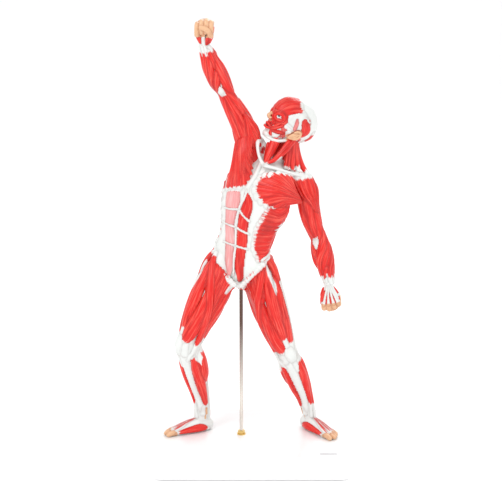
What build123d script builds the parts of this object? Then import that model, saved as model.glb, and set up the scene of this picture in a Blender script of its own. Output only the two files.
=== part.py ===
"""Flayed muscle figure on a stand, about a quarter of life size.

A white moulded base carries a steel rod, held by a flange nut above and a washer and nut below.
The figure is a set of hollow plastic mouldings, plugged and glued together: a trunk, a head, two
arms with solid fists and two legs with solid feet. It drops over the rod, which stands in a sleeve
in the pelvis, and over one steel pin under each foot, so it lifts straight off the stand.

Row frame: +Z up, the figure faces -Y, its left side is at +X, and the origin is at the middle of
the base, on the surface that the base stands on. All sizes are in millimetres.
"""

import math
import os
from dataclasses import dataclass

from build123d import *

# ---------------------------------------------------------------- base
base_width = 210.0  # across the top face, before its edge is rounded
base_depth = 152.0
base_height = 24.0  # of the shell alone
base_wall = 2.6
base_draft = 7.0  # degrees, the sides flare outwards to the bottom
base_corner = 5.0
base_edge = 2.4  # rounding of the top edge
pad_diameter = 12.0
pad_height = 1.5
pad_inset = 11.0  # pad centre to the bottom outline's edges
pad_post_diameter = 13.0
rib_thickness = 1.8
rib_depth = 9.0
rib_spacing = 52.0
label_width = 19.0
label_depth = 3.4
label_thickness = 0.15
label_from_side = 8.0  # label to the top face's edges
label_from_front = 8.0
foot_to_top = pad_height + base_height  # height of the surface the figure stands on

# ---------------------------------------------------------------- rod and its fasteners
rod_diameter = 4.0
rod_x = -12.0
rod_y = -5.0
rod_engagement = 30.0  # length of rod inside the pelvis sleeve
rod_tail = 2.5  # rod below the lower nut
rod_chamfer = 0.4
rod_clearance = 0.05  # radial, in the nuts and the sleeve
rod_hole_clearance = 0.25  # radial, in the base and the washer
nut_across_flats = 7.0
flange_nut_height = 4.6
flange_diameter = 10.0
flange_height = 1.1
lower_nut_height = 3.2
washer_diameter = 12.0
washer_thickness = 1.0
boss_diameter = 15.0
boss_length = 12.0  # from the inside of the base's top wall down to the washer

# ---------------------------------------------------------------- foot pins and sleeves
pin_diameter = 3.0
pin_above = 6.5
pin_below = 9.0
pin_clearance = 0.08  # radial, in the sole sleeve
pin_boss_diameter = 8.0
pin_from_heel = 15.0
sole_sleeve_wall = 1.2
sole_sleeve_height = 8.5
rod_sleeve_wall = 2.0
rod_sleeve_roof = 2.0
rod_end_gap = 1.0  # from the rod's top to the sleeve's roof
rod_boss_wall = 2.5  # of the trunk, around the sleeve

# ---------------------------------------------------------------- figure
figure_height = 474.0  # soles to the top of the raised fist
drawn_height = 474.0  # the height that the station lists below are drawn at
skin = 2.6  # wall of the hollow mouldings
seam_gap = 0.12  # glue line between neighbouring mouldings
plug_length = 7.0  # how far a limb's plug reaches into its socket
shoulder_plug = 7.0  # plug radii
hip_plug = 9.5
wrist_plug = 2.8
ankle_plug = 3.6
plug_vent = 2.0  # radius of the hole that lets air out of a hollow limb

k = figure_height / drawn_height


@dataclass
class Station:
    """An oval section of a limb. Its centre is measured from the middle of the base's top face."""

    x: float
    y: float
    z: float
    half_width: float
    half_depth: float

    def centre(self):
        return Vector(self.x * k, self.y * k, self.z * k + foot_to_top)


# The front of each run of sections is turned from -Y by this many degrees, towards +X.
trunk_turn = -14.0
right_leg_turn = -40.0
left_leg_turn = 25.0
arm_turn = 0.0

trunk_stations = [
    Station(-12.5, -3.5, 174.5, 11.0, 10.0),
    Station(-13.0, 0.0, 187.0, 31.0, 19.0),
    Station(-12.0, 1.0, 204.0, 36.0, 21.0),
    Station(-10.0, 1.0, 218.0, 33.0, 19.0),
    Station(-8.0, 1.0, 231.0, 32.0, 18.0),
    Station(-3.0, 1.0, 250.0, 35.0, 20.5),
    Station(5.0, 1.0, 269.0, 40.0, 23.0),
    Station(9.5, 1.0, 286.0, 42.0, 24.0),
    Station(13.5, 1.0, 301.5, 38.0, 22.0),
    Station(21.0, 3.0, 315.0, 25.0, 17.0),
    Station(30.0, 4.0, 325.0, 14.5, 13.5),
    Station(40.0, 4.0, 336.0, 12.0, 12.0),
    Station(45.0, 3.0, 346.0, 11.0, 11.5),
]
right_arm_stations = [
    Station(8.0, 1.0, 306.0, 13.0, 12.0),
    Station(-4.0, 0.0, 330.0, 13.0, 12.5),
    Station(-6.0, -3.0, 350.0, 13.5, 13.0),
    Station(-12.5, -6.0, 366.0, 12.6, 12.0),
    Station(-22.0, -9.0, 382.5, 10.3, 10.5),
    Station(-30.0, -11.0, 397.0, 8.6, 9.0),
    Station(-36.0, -12.0, 408.5, 11.0, 9.5),
    Station(-40.5, -13.0, 417.5, 11.8, 9.5),
    Station(-46.0, -15.0, 431.0, 9.4, 8.0),
    Station(-51.0, -17.0, 443.0, 6.2, 5.4),
]
left_arm_stations = [
    Station(40.0, 1.0, 299.0, 13.0, 12.5),
    Station(54.0, 1.0, 294.0, 12.5, 12.5),
    Station(61.0, 3.0, 278.0, 12.5, 12.8),
    Station(65.0, 5.0, 262.5, 11.2, 12.0),
    Station(69.0, 6.0, 246.5, 11.2, 11.0),
    Station(75.5, 6.5, 228.0, 9.4, 9.6),
    Station(79.0, 5.0, 217.0, 11.3, 10.0),
    Station(82.0, 2.0, 205.0, 11.3, 9.5),
    Station(85.5, -2.0, 193.0, 8.8, 7.8),
    Station(86.8, -5.0, 182.0, 6.4, 5.4),
]
right_leg_stations = [
    Station(-32.0, 2.0, 194.0, 19.0, 19.0),
    Station(-43.5, -2.0, 172.0, 20.5, 21.0),
    Station(-54.0, -7.0, 152.0, 19.3, 20.5),
    Station(-63.5, -11.0, 133.5, 16.4, 17.5),
    Station(-70.0, -14.0, 117.0, 13.0, 15.0),
    Station(-72.0, -13.0, 105.5, 13.0, 14.5),
    Station(-68.5, -8.0, 88.5, 13.5, 15.0),
    Station(-64.5, -3.0, 70.0, 12.5, 14.5),
    Station(-60.5, 2.0, 50.0, 9.0, 10.5),
    Station(-58.5, 5.0, 32.0, 7.2, 8.8),
    Station(-58.5, 6.5, 12.0, 6.6, 8.0),
]
left_leg_stations = [
    Station(4.0, 2.0, 194.0, 18.0, 19.0),
    Station(11.5, 2.0, 171.0, 21.0, 21.5),
    Station(19.0, 2.0, 149.5, 18.8, 20.0),
    Station(27.5, 2.0, 129.5, 15.6, 17.0),
    Station(35.0, 3.0, 111.5, 13.6, 15.0),
    Station(41.0, 4.0, 95.5, 13.6, 14.5),
    Station(49.0, 6.0, 79.0, 14.4, 14.5),
    Station(55.5, 8.0, 61.0, 13.4, 13.5),
    Station(61.5, 10.0, 44.5, 9.6, 10.5),
    Station(66.0, 11.0, 29.0, 7.2, 8.6),
    Station(68.5, 11.5, 12.0, 6.6, 8.0),
]
right_fist_stations = [
    Station(-50.4, -16.6, 441.0, 5.8, 5.0),
    Station(-50.5, -18.5, 451.0, 8.6, 6.6),
    Station(-49.6, -20.0, 459.0, 10.0, 8.0),
    Station(-49.4, -20.5, 466.5, 9.6, 7.6),
    Station(-50.2, -20.0, 474.0, 5.0, 4.0),
]
left_fist_stations = [
    Station(86.6, -4.6, 183.5, 6.0, 5.0),
    Station(87.8, -8.0, 171.5, 9.0, 6.8),
    Station(89.8, -11.0, 161.5, 11.2, 8.4),
    Station(90.2, -12.0, 155.0, 10.6, 7.8),
    Station(88.5, -12.0, 149.5, 6.5, 4.6),
]

# Feet are drawn from the heel forwards. Each section is an oval around the sole plane, which cuts
# its lower part away.
right_heel = (-49.5, 13.0)
right_foot_aim = -68.0  # degrees from -Y towards +X
left_heel = (62.5, 23.0)
left_foot_aim = 38.0
foot_sections = [  # distance from the heel, middle line's shift, height of centre, half width, half height
    (1.5, 0.0, 6.0, 5.0, 5.0),
    (8.0, 0.0, 8.0, 8.0, 9.0),
    (17.0, 0.0, 8.0, 8.4, 13.0),
    (29.0, 0.5, 5.0, 9.0, 11.5),
    (42.0, 1.0, 2.5, 10.6, 8.5),
    (53.0, 1.0, 2.0, 10.4, 5.5),
    (59.0, 0.5, 2.0, 7.0, 3.0),
]

# The head's own axes: up to the crown, and forward to the nose.
head_centre = (45.0, -1.0, 363.0)
head_up = (0.62, 0.0, 0.78)
head_forward = (-0.72, -0.38, 0.58)
head_sections = [  # height over the centre, shift forward, half length, half width
    (-29.0, 16.0, 5.0, 5.0),
    (-24.0, 13.0, 10.5, 10.0),
    (-14.0, 7.0, 17.5, 14.5),
    (-4.0, 2.0, 23.0, 17.5),
    (6.0, -1.0, 25.5, 19.0),
    (16.0, -2.0, 22.5, 17.0),
    (22.5, -2.5, 15.5, 11.5),
    (26.0, -2.5, 6.0, 5.0),
]


def front_of(turn):
    """Level direction that a run of sections faces."""
    angle = math.radians(turn)
    return Vector(math.sin(angle), -math.cos(angle), 0)


def section_planes(stations, turn):
    """One plane per station, square to the run, with its X across the limb."""
    planes = []
    last = len(stations) - 1
    for i, station in enumerate(stations):
        along = stations[min(i + 1, last)].centre() - stations[max(i - 1, 0)].centre()
        across = along.cross(front_of(turn)).normalized()
        planes.append(Plane(station.centre(), x_dir=across, z_dir=along.normalized()))
    return planes


def oval_loft(stations, turn, grow=0.0):
    """Smooth solid through the stations' ovals, each grown by the same amount all round."""
    with BuildPart() as body:
        for station, plane in zip(stations, section_planes(stations, turn)):
            with BuildSketch(plane):
                Ellipse(station.half_width * k + grow, station.half_depth * k + grow)
        loft()
    return body.part


def hollow(stations, turn, start, end):
    """Room inside a moulding between two of its stations, a wall's thickness in from its skin."""
    planes = section_planes(stations, turn)
    with BuildPart() as room:
        add(oval_loft(stations, turn, grow=-skin))
        split(bisect_by=planes[start], keep=Keep.TOP)
        split(bisect_by=planes[end], keep=Keep.BOTTOM)
    return room.part


def bar(plane, radius, back, front):
    """Round bar along the plane's normal, from behind the plane to in front of it."""
    with BuildPart() as rod:
        with BuildSketch(plane.offset(-back)):
            Circle(radius)
        extrude(amount=back + front)
    return rod.part


def reach(stations, start, end):
    """Distance between the centres of two stations of a run."""
    return (stations[end].centre() - stations[start].centre()).length


def root_plug(stations, turn, radius):
    """Bar from a limb's first station, inside its socket, to its second one."""
    return bar(section_planes(stations, turn)[0], radius, 0, reach(stations, 0, 1))


def end_plug(stations, turn, radius):
    """Bar through the plane of a limb's last station, for the piece that ends the limb."""
    return bar(section_planes(stations, turn)[-1], radius, plug_length, plug_length / 2)


def post(x, y, bottom, top, radius):
    """Upright round bar."""
    return bar(Plane((x, y, bottom)), radius, 0, top - bottom)


def foot_line(heel, aim, distance, shift):
    """Point on the ground plan of a foot."""
    forward = front_of(aim)
    side = Vector(-forward.Y, forward.X, 0)
    return Vector(heel[0] * k, heel[1] * k, 0) + forward * distance * k + side * shift * k


def foot_loft(heel, aim, mirrored):
    """Foot from heel to toes, cut flat at the sole plane."""
    forward = front_of(aim)
    across = Vector(-forward.Y, forward.X, 0)
    shift_sign = -1 if mirrored else 1
    with BuildPart() as body:
        for distance, shift, height, half_width, half_height in foot_sections:
            centre = foot_line(heel, aim, distance, shift * shift_sign)
            centre.Z = foot_to_top + height * k
            with BuildSketch(Plane(centre, x_dir=across, z_dir=forward)):
                Ellipse(half_width * k, half_height * k)
        loft()
        split(bisect_by=Plane.XY.offset(foot_to_top), keep=Keep.TOP)
    return body.part


def head_loft(sections, grow=0.0):
    """Egg-shaped head on its own axes."""
    up = Vector(*head_up).normalized()
    forward = Vector(*head_forward)
    forward = (forward - up * forward.dot(up)).normalized()
    middle = Vector(head_centre[0] * k, head_centre[1] * k, head_centre[2] * k + foot_to_top)
    with BuildPart() as body:
        for height, shift, half_length, half_width in sections:
            centre = middle + up * height * k + forward * shift * k
            with BuildSketch(Plane(centre, x_dir=forward, z_dir=up)):
                Ellipse(half_length * k + grow, half_width * k + grow)
        loft()
    return body.part


os.makedirs("parts", exist_ok=True)

# ================================================================ base
base_flare = base_height * math.tan(math.radians(base_draft))  # bottom outline past the top one
bottom_width = base_width + 2 * base_flare
bottom_depth = base_depth + 2 * base_flare
underside = pad_height  # height of the shell's rim
ceiling = foot_to_top - base_wall  # underside of the top wall
washer_seat = ceiling - boss_length
pad_x = bottom_width / 2 - pad_inset
pad_y = bottom_depth / 2 - pad_inset

# Places of the foot pins: under each heel.
right_pin = foot_line(right_heel, right_foot_aim, pin_from_heel, 0)
left_pin = foot_line(left_heel, left_foot_aim, pin_from_heel, 0)
pins = [right_pin, left_pin]


def base_block(inset, bottom, top):
    """Flared block between two heights, with its walls moved inwards by the inset."""
    with BuildPart() as block:
        with BuildSketch(Plane.XY.offset(top)):
            narrowing = (foot_to_top - top) * math.tan(math.radians(base_draft))
            RectangleRounded(
                base_width - 2 * inset + 2 * narrowing,
                base_depth - 2 * inset + 2 * narrowing,
                base_corner,
            )
        extrude(amount=-(top - bottom), taper=-base_draft)
    return block.part


with BuildPart() as base_shell:
    add(base_block(0, underside, foot_to_top))
    fillet(base_shell.edges().group_by(Axis.Z)[-1], base_edge)
    add(base_block(base_wall, underside, ceiling), mode=Mode.SUBTRACT)
    # Ribs that hang from the top wall, across the base and along it.
    with BuildSketch(Plane.XY.offset(ceiling)):
        with GridLocations(rib_spacing, 0, 3, 1):
            Rectangle(rib_thickness, base_depth - 2 * base_wall)
        with GridLocations(0, rib_spacing, 1, 2):
            Rectangle(base_width - 2 * base_wall, rib_thickness)
    extrude(amount=-rib_depth)
    # Bosses for the rod and the pins, and posts over the pads.
    add(post(rod_x, rod_y, washer_seat, ceiling, boss_diameter / 2))
    for pin in pins:
        add(post(pin.X, pin.Y, foot_to_top - pin_below, ceiling, pin_boss_diameter / 2))
    with BuildSketch(Plane.XY.offset(underside)):
        with GridLocations(2 * pad_x, 2 * pad_y, 2, 2):
            Circle(pad_post_diameter / 2)
    extrude(amount=ceiling - underside)
    # Room under the boss for the washer and the nut, then the holes.
    add(post(rod_x, rod_y, underside, washer_seat, boss_diameter / 2), mode=Mode.SUBTRACT)
    rod_hole = rod_diameter / 2 + rod_hole_clearance
    add(post(rod_x, rod_y, underside, foot_to_top, rod_hole), mode=Mode.SUBTRACT)
    for pin in pins:
        add(
            post(pin.X, pin.Y, foot_to_top - pin_below, foot_to_top, pin_diameter / 2),
            mode=Mode.SUBTRACT,
        )

with BuildPart() as base_pads:
    with BuildSketch():
        with GridLocations(2 * pad_x, 2 * pad_y, 2, 2):
            Circle(pad_diameter / 2)
    extrude(amount=pad_height)

with BuildPart() as label_plate:
    label_x = base_width / 2 - base_edge - label_from_side - label_width / 2
    label_y = -base_depth / 2 + base_edge + label_from_front + label_depth / 2
    with BuildSketch(Plane((label_x, label_y, foot_to_top))):
        Rectangle(label_width, label_depth)
    extrude(amount=label_thickness)

# ================================================================ rod and fasteners
crotch = trunk_stations[0].centre().Z
rod_top = crotch + rod_engagement
lower_nut_top = washer_seat - washer_thickness
rod_bottom = lower_nut_top - lower_nut_height - rod_tail
nut_bore = rod_diameter / 2 + rod_clearance

with BuildPart() as support_rod:
    add(post(rod_x, rod_y, rod_bottom, rod_top, rod_diameter / 2))
    chamfer(support_rod.edges().filter_by(GeomType.CIRCLE), rod_chamfer)

with BuildPart() as lower_washer:
    with BuildSketch(Plane((rod_x, rod_y, lower_nut_top))):
        Circle(washer_diameter / 2)
        Circle(rod_hole, mode=Mode.SUBTRACT)
    extrude(amount=washer_thickness)

with BuildPart() as lower_nut:
    with BuildSketch(Plane((rod_x, rod_y, lower_nut_top - lower_nut_height))):
        RegularPolygon(nut_across_flats / 2, 6, major_radius=False)
        Circle(nut_bore, mode=Mode.SUBTRACT)
    extrude(amount=lower_nut_height)

with BuildPart() as flange_nut:
    with BuildSketch(Plane((rod_x, rod_y, foot_to_top))):
        Circle(flange_diameter / 2)
    extrude(amount=flange_height)
    with BuildSketch(Plane((rod_x, rod_y, foot_to_top + flange_height))):
        RegularPolygon(nut_across_flats / 2, 6, major_radius=False)
    extrude(amount=flange_nut_height - flange_height)
    add(
        post(rod_x, rod_y, foot_to_top, foot_to_top + flange_nut_height, nut_bore),
        mode=Mode.SUBTRACT,
    )

with BuildPart() as right_foot_pin:
    add(
        post(right_pin.X, right_pin.Y, foot_to_top - pin_below, foot_to_top + pin_above,
             pin_diameter / 2)
    )

with BuildPart() as left_foot_pin:
    add(
        post(left_pin.X, left_pin.Y, foot_to_top - pin_below, foot_to_top + pin_above,
             pin_diameter / 2)
    )

# ================================================================ figure
trunk_form = oval_loft(trunk_stations, trunk_turn)
trunk_seat = oval_loft(trunk_stations, trunk_turn, grow=seam_gap)
trunk_cavity = hollow(trunk_stations, trunk_turn, 1, -4)
head_form = head_loft(head_sections)
right_arm_form = oval_loft(right_arm_stations, arm_turn)
left_arm_form = oval_loft(left_arm_stations, arm_turn)
right_leg_form = oval_loft(right_leg_stations, right_leg_turn)
left_leg_form = oval_loft(left_leg_stations, left_leg_turn)
right_foot_form = foot_loft(right_heel, right_foot_aim, mirrored=True)
left_foot_form = foot_loft(left_heel, left_foot_aim, mirrored=False)
right_fist_form = oval_loft(right_fist_stations, arm_turn)
left_fist_form = oval_loft(left_fist_stations, arm_turn)

limb_plugs = {
    "right_arm": (right_arm_stations, arm_turn, shoulder_plug),
    "left_arm": (left_arm_stations, arm_turn, shoulder_plug),
    "right_leg": (right_leg_stations, right_leg_turn, hip_plug),
    "left_leg": (left_leg_stations, left_leg_turn, hip_plug),
}
sleeve_radius = nut_bore + rod_sleeve_wall
sleeve_top = rod_top + rod_end_gap + rod_sleeve_roof
boss_top = sleeve_top + rod_boss_wall
boss_radius = sleeve_radius + rod_boss_wall

with BuildPart() as trunk:
    add(trunk_form)
    add(trunk_cavity, mode=Mode.SUBTRACT)
    # Boss for the rod's sleeve, kept inside the body's outline.
    rod_boss = trunk_form.intersect(post(rod_x, rod_y, crotch - skin, boss_top, boss_radius))
    add(rod_boss)
    add(
        post(rod_x, rod_y, crotch - 2 * skin, sleeve_top + seam_gap, sleeve_radius + seam_gap),
        mode=Mode.SUBTRACT,
    )
    for stations, turn, radius in limb_plugs.values():
        add(root_plug(stations, turn, radius + seam_gap), mode=Mode.SUBTRACT)

with BuildPart() as rod_sleeve:
    add(post(rod_x, rod_y, crotch, sleeve_top, sleeve_radius))
    add(post(rod_x, rod_y, crotch, rod_top + rod_end_gap, nut_bore), mode=Mode.SUBTRACT)

with BuildPart() as head:
    add(head_form)
    add(head_loft(head_sections[1:-1], grow=-skin), mode=Mode.SUBTRACT)
    add(trunk_seat, mode=Mode.SUBTRACT)


def limb(name, form, cavity_start, cavity_end, end_radius, clear_of=()):
    """Hollow limb with a vented plug at its root and a socket at its far end."""
    stations, turn, radius = limb_plugs[name]
    vent_length = reach(stations, 0, 1) + reach(stations, 1, cavity_start) + skin
    with BuildPart() as body:
        add(form)
        add(trunk_seat, mode=Mode.SUBTRACT)
        add(trunk_form, mode=Mode.SUBTRACT)
        for neighbour in clear_of:
            add(neighbour, mode=Mode.SUBTRACT)
        add(root_plug(stations, turn, radius))
        add(hollow(stations, turn, cavity_start, cavity_end), mode=Mode.SUBTRACT)
        vent = bar(section_planes(stations, turn)[0], plug_vent, 0, vent_length)
        add(vent, mode=Mode.SUBTRACT)
        add(end_plug(stations, turn, end_radius + seam_gap), mode=Mode.SUBTRACT)
    return body.part


rod_room = post(rod_x, rod_y, foot_to_top, boss_top, boss_radius)

with BuildPart() as right_arm:
    add(limb("right_arm", right_arm_form, 3, -2, wrist_plug))

with BuildPart() as left_arm:
    add(limb("left_arm", left_arm_form, 2, -2, wrist_plug))

with BuildPart() as right_leg:
    add(limb("right_leg", right_leg_form, 1, -3, ankle_plug, [right_foot_form, rod_room]))

with BuildPart() as left_leg:
    add(limb("left_leg", left_leg_form, 1, -3, ankle_plug, [left_foot_form, rod_room]))

with BuildPart() as right_hand:
    add(right_fist_form)
    add(oval_loft(right_arm_stations, arm_turn, grow=seam_gap), mode=Mode.SUBTRACT)
    add(end_plug(right_arm_stations, arm_turn, wrist_plug))

with BuildPart() as left_hand:
    add(left_fist_form)
    add(oval_loft(left_arm_stations, arm_turn, grow=seam_gap), mode=Mode.SUBTRACT)
    add(end_plug(left_arm_stations, arm_turn, wrist_plug))

sole_bore = pin_diameter / 2 + pin_clearance
sole_sleeve_radius = sole_bore + sole_sleeve_wall
sole_sleeve_top = foot_to_top + sole_sleeve_height


def sole_socket(pin):
    """Room in a foot for its sleeve."""
    return post(pin.X, pin.Y, foot_to_top, sole_sleeve_top + seam_gap, sole_sleeve_radius + seam_gap)


def sole_sleeve(pin):
    """Sleeve that drops over a foot pin."""
    with BuildPart() as sleeve:
        add(post(pin.X, pin.Y, foot_to_top, sole_sleeve_top, sole_sleeve_radius))
        add(post(pin.X, pin.Y, foot_to_top, sole_sleeve_top, sole_bore), mode=Mode.SUBTRACT)
    return sleeve.part


with BuildPart() as right_foot:
    add(right_foot_form)
    add(end_plug(right_leg_stations, right_leg_turn, ankle_plug))
    add(sole_socket(right_pin), mode=Mode.SUBTRACT)

with BuildPart() as left_foot:
    add(left_foot_form)
    add(end_plug(left_leg_stations, left_leg_turn, ankle_plug))
    add(sole_socket(left_pin), mode=Mode.SUBTRACT)

with BuildPart() as right_foot_sleeve:
    add(sole_sleeve(right_pin))

with BuildPart() as left_foot_sleeve:
    add(sole_sleeve(left_pin))

# ================================================================ export
pieces = {
    "base_shell": base_shell,
    "base_pads": base_pads,
    "label_plate": label_plate,
    "support_rod": support_rod,
    "lower_washer": lower_washer,
    "lower_nut": lower_nut,
    "flange_nut": flange_nut,
    "right_foot_pin": right_foot_pin,
    "left_foot_pin": left_foot_pin,
    "rod_sleeve": rod_sleeve,
    "right_foot_sleeve": right_foot_sleeve,
    "left_foot_sleeve": left_foot_sleeve,
    "trunk": trunk,
    "head": head,
    "right_arm": right_arm,
    "left_arm": left_arm,
    "right_hand": right_hand,
    "left_hand": left_hand,
    "right_leg": right_leg,
    "left_leg": left_leg,
    "right_foot": right_foot,
    "left_foot": left_foot,
}
for name, piece in pieces.items():
    piece.part.label = name
    export_step(piece.part, f"parts/{name}.step")
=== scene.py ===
"""Painted muscle figure on its stand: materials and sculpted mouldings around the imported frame.

Lengths in the sculpted pieces are millimetres from the middle of the base's top face, with the
figure facing -Y and its left side at +X. They become metres in the frame's axes when a piece is cast.
"""

import math

import bpy
import numpy as np
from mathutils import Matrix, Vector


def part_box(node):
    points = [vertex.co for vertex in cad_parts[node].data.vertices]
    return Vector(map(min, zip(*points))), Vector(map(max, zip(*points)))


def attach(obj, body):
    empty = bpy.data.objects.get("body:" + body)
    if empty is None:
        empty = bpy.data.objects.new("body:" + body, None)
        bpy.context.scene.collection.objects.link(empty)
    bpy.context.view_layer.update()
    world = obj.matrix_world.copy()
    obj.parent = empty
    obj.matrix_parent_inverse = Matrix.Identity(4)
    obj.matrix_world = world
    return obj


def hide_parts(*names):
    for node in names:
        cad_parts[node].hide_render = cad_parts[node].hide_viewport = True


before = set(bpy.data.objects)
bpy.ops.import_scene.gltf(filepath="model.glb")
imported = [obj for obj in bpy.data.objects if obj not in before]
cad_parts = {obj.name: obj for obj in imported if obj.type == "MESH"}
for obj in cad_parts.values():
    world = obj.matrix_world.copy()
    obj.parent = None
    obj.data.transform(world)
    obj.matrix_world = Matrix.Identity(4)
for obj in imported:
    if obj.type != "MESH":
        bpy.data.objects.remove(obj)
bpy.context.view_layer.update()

# ------------------------------------------------------------------ room
# A pale seamless floor, a large soft light over the figure's right shoulder, a weaker one on its
# left and a white sky, as in a catalogue studio.
scene = bpy.context.scene
scene.view_settings.view_transform = "Standard"

stand_low, stand_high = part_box("base_shell")
stand_top = stand_high[2]
figure_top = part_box("right_hand")[1][2]


class Wire:
    """A number, colour or vector in a material, so that shader sums read as plain Python."""

    def __init__(self, tree, socket):
        self.tree = tree
        self.socket = socket

    def maths(self, operation, *others, **settings):
        node = self.tree.nodes.new("ShaderNodeMath")
        node.operation = operation
        for name, value in settings.items():
            setattr(node, name, value)
        for slot, value in zip(node.inputs, others):
            put(self.tree, slot, value)
        return Wire(self.tree, node.outputs[0])

    def __add__(self, other):
        return self.maths("ADD", self, other)

    def __radd__(self, other):
        return self.maths("ADD", other, self)

    def __sub__(self, other):
        return self.maths("SUBTRACT", self, other)

    def __rsub__(self, other):
        return self.maths("SUBTRACT", other, self)

    def __mul__(self, other):
        return self.maths("MULTIPLY", self, other)

    def __rmul__(self, other):
        return self.maths("MULTIPLY", other, self)

    def __truediv__(self, other):
        return self.maths("DIVIDE", self, other)

    def __pow__(self, other):
        return self.maths("POWER", self, other)

    def clamped(self):
        return self.maths("ADD", self, 0.0, use_clamp=True)


def put(tree, slot, value):
    """Link a wire to a node's input, or set the input to a plain value."""
    if isinstance(value, Wire):
        tree.links.new(value.socket, slot)
    elif isinstance(value, (tuple, list)) and slot.type == "RGBA" and len(value) == 3:
        slot.default_value = (*value, 1.0)
    else:
        slot.default_value = value


class Finish:
    """One material: its nodes, and the shader that they feed."""

    def __init__(self, name):
        self.material = bpy.data.materials.new(name)
        self.material.use_nodes = True
        self.tree = self.material.node_tree
        self.shader = self.tree.nodes["Principled BSDF"]

    def node(self, kind, output=0, settings=None, **inputs):
        """Add a node: its settings first, then its inputs by name, with _ for a space."""
        made = self.tree.nodes.new("ShaderNode" + kind)
        for name, value in (settings or {}).items():
            setattr(made, name, value)
        for name, value in inputs.items():
            put(self.tree, made.inputs[name.replace("_", " ")], value)
        return Wire(self.tree, made.outputs[output])

    def mix(self, share, first, second):
        """Colour between two colours."""
        made = self.tree.nodes.new("ShaderNodeMix")
        made.data_type = "RGBA"
        put(self.tree, made.inputs[0], share)
        put(self.tree, made.inputs[6], first)
        put(self.tree, made.inputs[7], second)
        return Wire(self.tree, made.outputs[2])

    def noise(self, vector, scale, detail=2.0, roughness=0.5):
        return self.node("TexNoise", Vector=vector, Scale=scale, Detail=detail, Roughness=roughness)

    def place(self):
        return self.node("TexCoord", "Object")

    def set(self, **values):
        for name, value in values.items():
            put(self.tree, self.shader.inputs[name.replace("_", " ")], value)

    def dents(self, height, distance, strength=1.0):
        """Bump from a height wire; the distance is in metres."""
        bump = self.node("Bump", Height=height, Distance=distance, Strength=strength)
        self.set(Normal=bump)


def paint_node(name, finish):
    """Give a CAD node a finish in every slot it has."""
    made = bpy.data.objects[name]
    for slot in made.material_slots:
        slot.material = finish.material
    if not made.material_slots:
        made.data.materials.append(finish.material)


floor_finish = Finish("studio_floor")
floor_grain = floor_finish.noise(floor_finish.place(), 40.0)
floor_finish.set(
    Base_Color=floor_finish.mix(floor_grain, (0.88, 0.88, 0.88), (0.90, 0.90, 0.90)),
    Roughness=0.7,
    Emission_Color=(1.0, 1.0, 1.0, 1.0),
    Emission_Strength=0.14,
)

floor_reach = 6.0
wall_distance = 3.0
wall_rise = 4.0
bend_radius = 1.5
bend_steps = 16
profile = [(-floor_reach, 0.0), (wall_distance - bend_radius, 0.0)]
for step in range(1, bend_steps + 1):
    turn = math.pi / 2 * step / bend_steps
    profile.append(
        (wall_distance - bend_radius + bend_radius * math.sin(turn), bend_radius * (1 - math.cos(turn)))
    )
profile.append((wall_distance, wall_rise))
floor_points = [(x, y, z) for y, z in profile for x in (-floor_reach, floor_reach)]
floor_faces = [(2 * i, 2 * i + 1, 2 * i + 3, 2 * i + 2) for i in range(len(profile) - 1)]
floor_mesh = bpy.data.meshes.new("studio_floor")
floor_mesh.from_pydata(floor_points, [], floor_faces)
floor_mesh.materials.append(floor_finish.material)
for face in floor_mesh.polygons:
    face.use_smooth = True
studio_floor = bpy.data.objects.new("studio_floor", floor_mesh)
scene.collection.objects.link(studio_floor)

world = bpy.data.worlds.new("white_sky")
world.use_nodes = True
world.node_tree.nodes["Background"].inputs["Color"].default_value = (1.0, 1.0, 1.0, 1.0)
world.node_tree.nodes["Background"].inputs["Strength"].default_value = 0.85
scene.world = world


def soft_light(name, place, size, power):
    """Square light that faces the middle of the figure."""
    lamp = bpy.data.lights.new(name, "AREA")
    lamp.size = size
    lamp.energy = power
    lamp_object = bpy.data.objects.new(name, lamp)
    lamp_object.location = place
    aim = np.array([0.0, 0.0, 0.5 * figure_top]) - np.array(place)
    flat = math.hypot(aim[0], aim[1])
    lamp_object.rotation_euler = (math.atan2(flat, -aim[2]), 0.0, math.atan2(aim[0], -aim[1]) + math.pi)
    scene.collection.objects.link(lamp_object)


soft_light("key_light", (-0.9, -1.1, 1.5), 0.9, 14.0)
soft_light("fill_light", (1.3, -0.8, 0.9), 1.2, 6.0)
soft_light("back_light", (0.4, 1.3, 1.3), 0.8, 8.0)

# A long lens a little above the raised fist, tilted down onto the figure.
camera_distance = 1.156
camera_height = 0.490
camera_tilt = 12.1  # degrees below level
camera_data = bpy.data.cameras.new("camera")
camera_data.sensor_width = 36.0
camera_data.lens = 75.3
camera = bpy.data.objects.new("camera", camera_data)
camera.location = (-0.0008, -camera_distance, camera_height)
camera.rotation_euler = (math.radians(90.0 - camera_tilt), 0.0, 0.0)
scene.collection.objects.link(camera)
scene.camera = camera

# ------------------------------------------------------------------ base
# Moulded white plastic with a high gloss. Its walls carry the faint ripple and fine scratches of an
# injection moulding that has been handled.
white_plastic = Finish("white_plastic")
ripple = white_plastic.noise(white_plastic.place(), 22.0, detail=1.0)
scuffs = white_plastic.noise(white_plastic.place(), 900.0, detail=3.0)
white_plastic.set(
    Base_Color=white_plastic.mix(ripple, (0.86, 0.865, 0.87), (0.90, 0.90, 0.90)),
    Roughness=0.16 + 0.10 * scuffs,
    Specular_IOR_Level=0.5,
    Coat_Weight=0.3,
    Coat_Roughness=0.08,
)
white_plastic.dents(ripple, 0.0002, 0.3)
paint_node("base_shell", white_plastic)

pad_rubber = Finish("pad_rubber")
pad_grain = pad_rubber.noise(pad_rubber.place(), 2500.0)
pad_rubber.set(Base_Color=pad_rubber.mix(pad_grain, (0.03, 0.03, 0.03), (0.05, 0.05, 0.05)), Roughness=0.8)
pad_rubber.dents(pad_grain, 0.0001)
paint_node("base_pads", pad_rubber)

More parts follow.
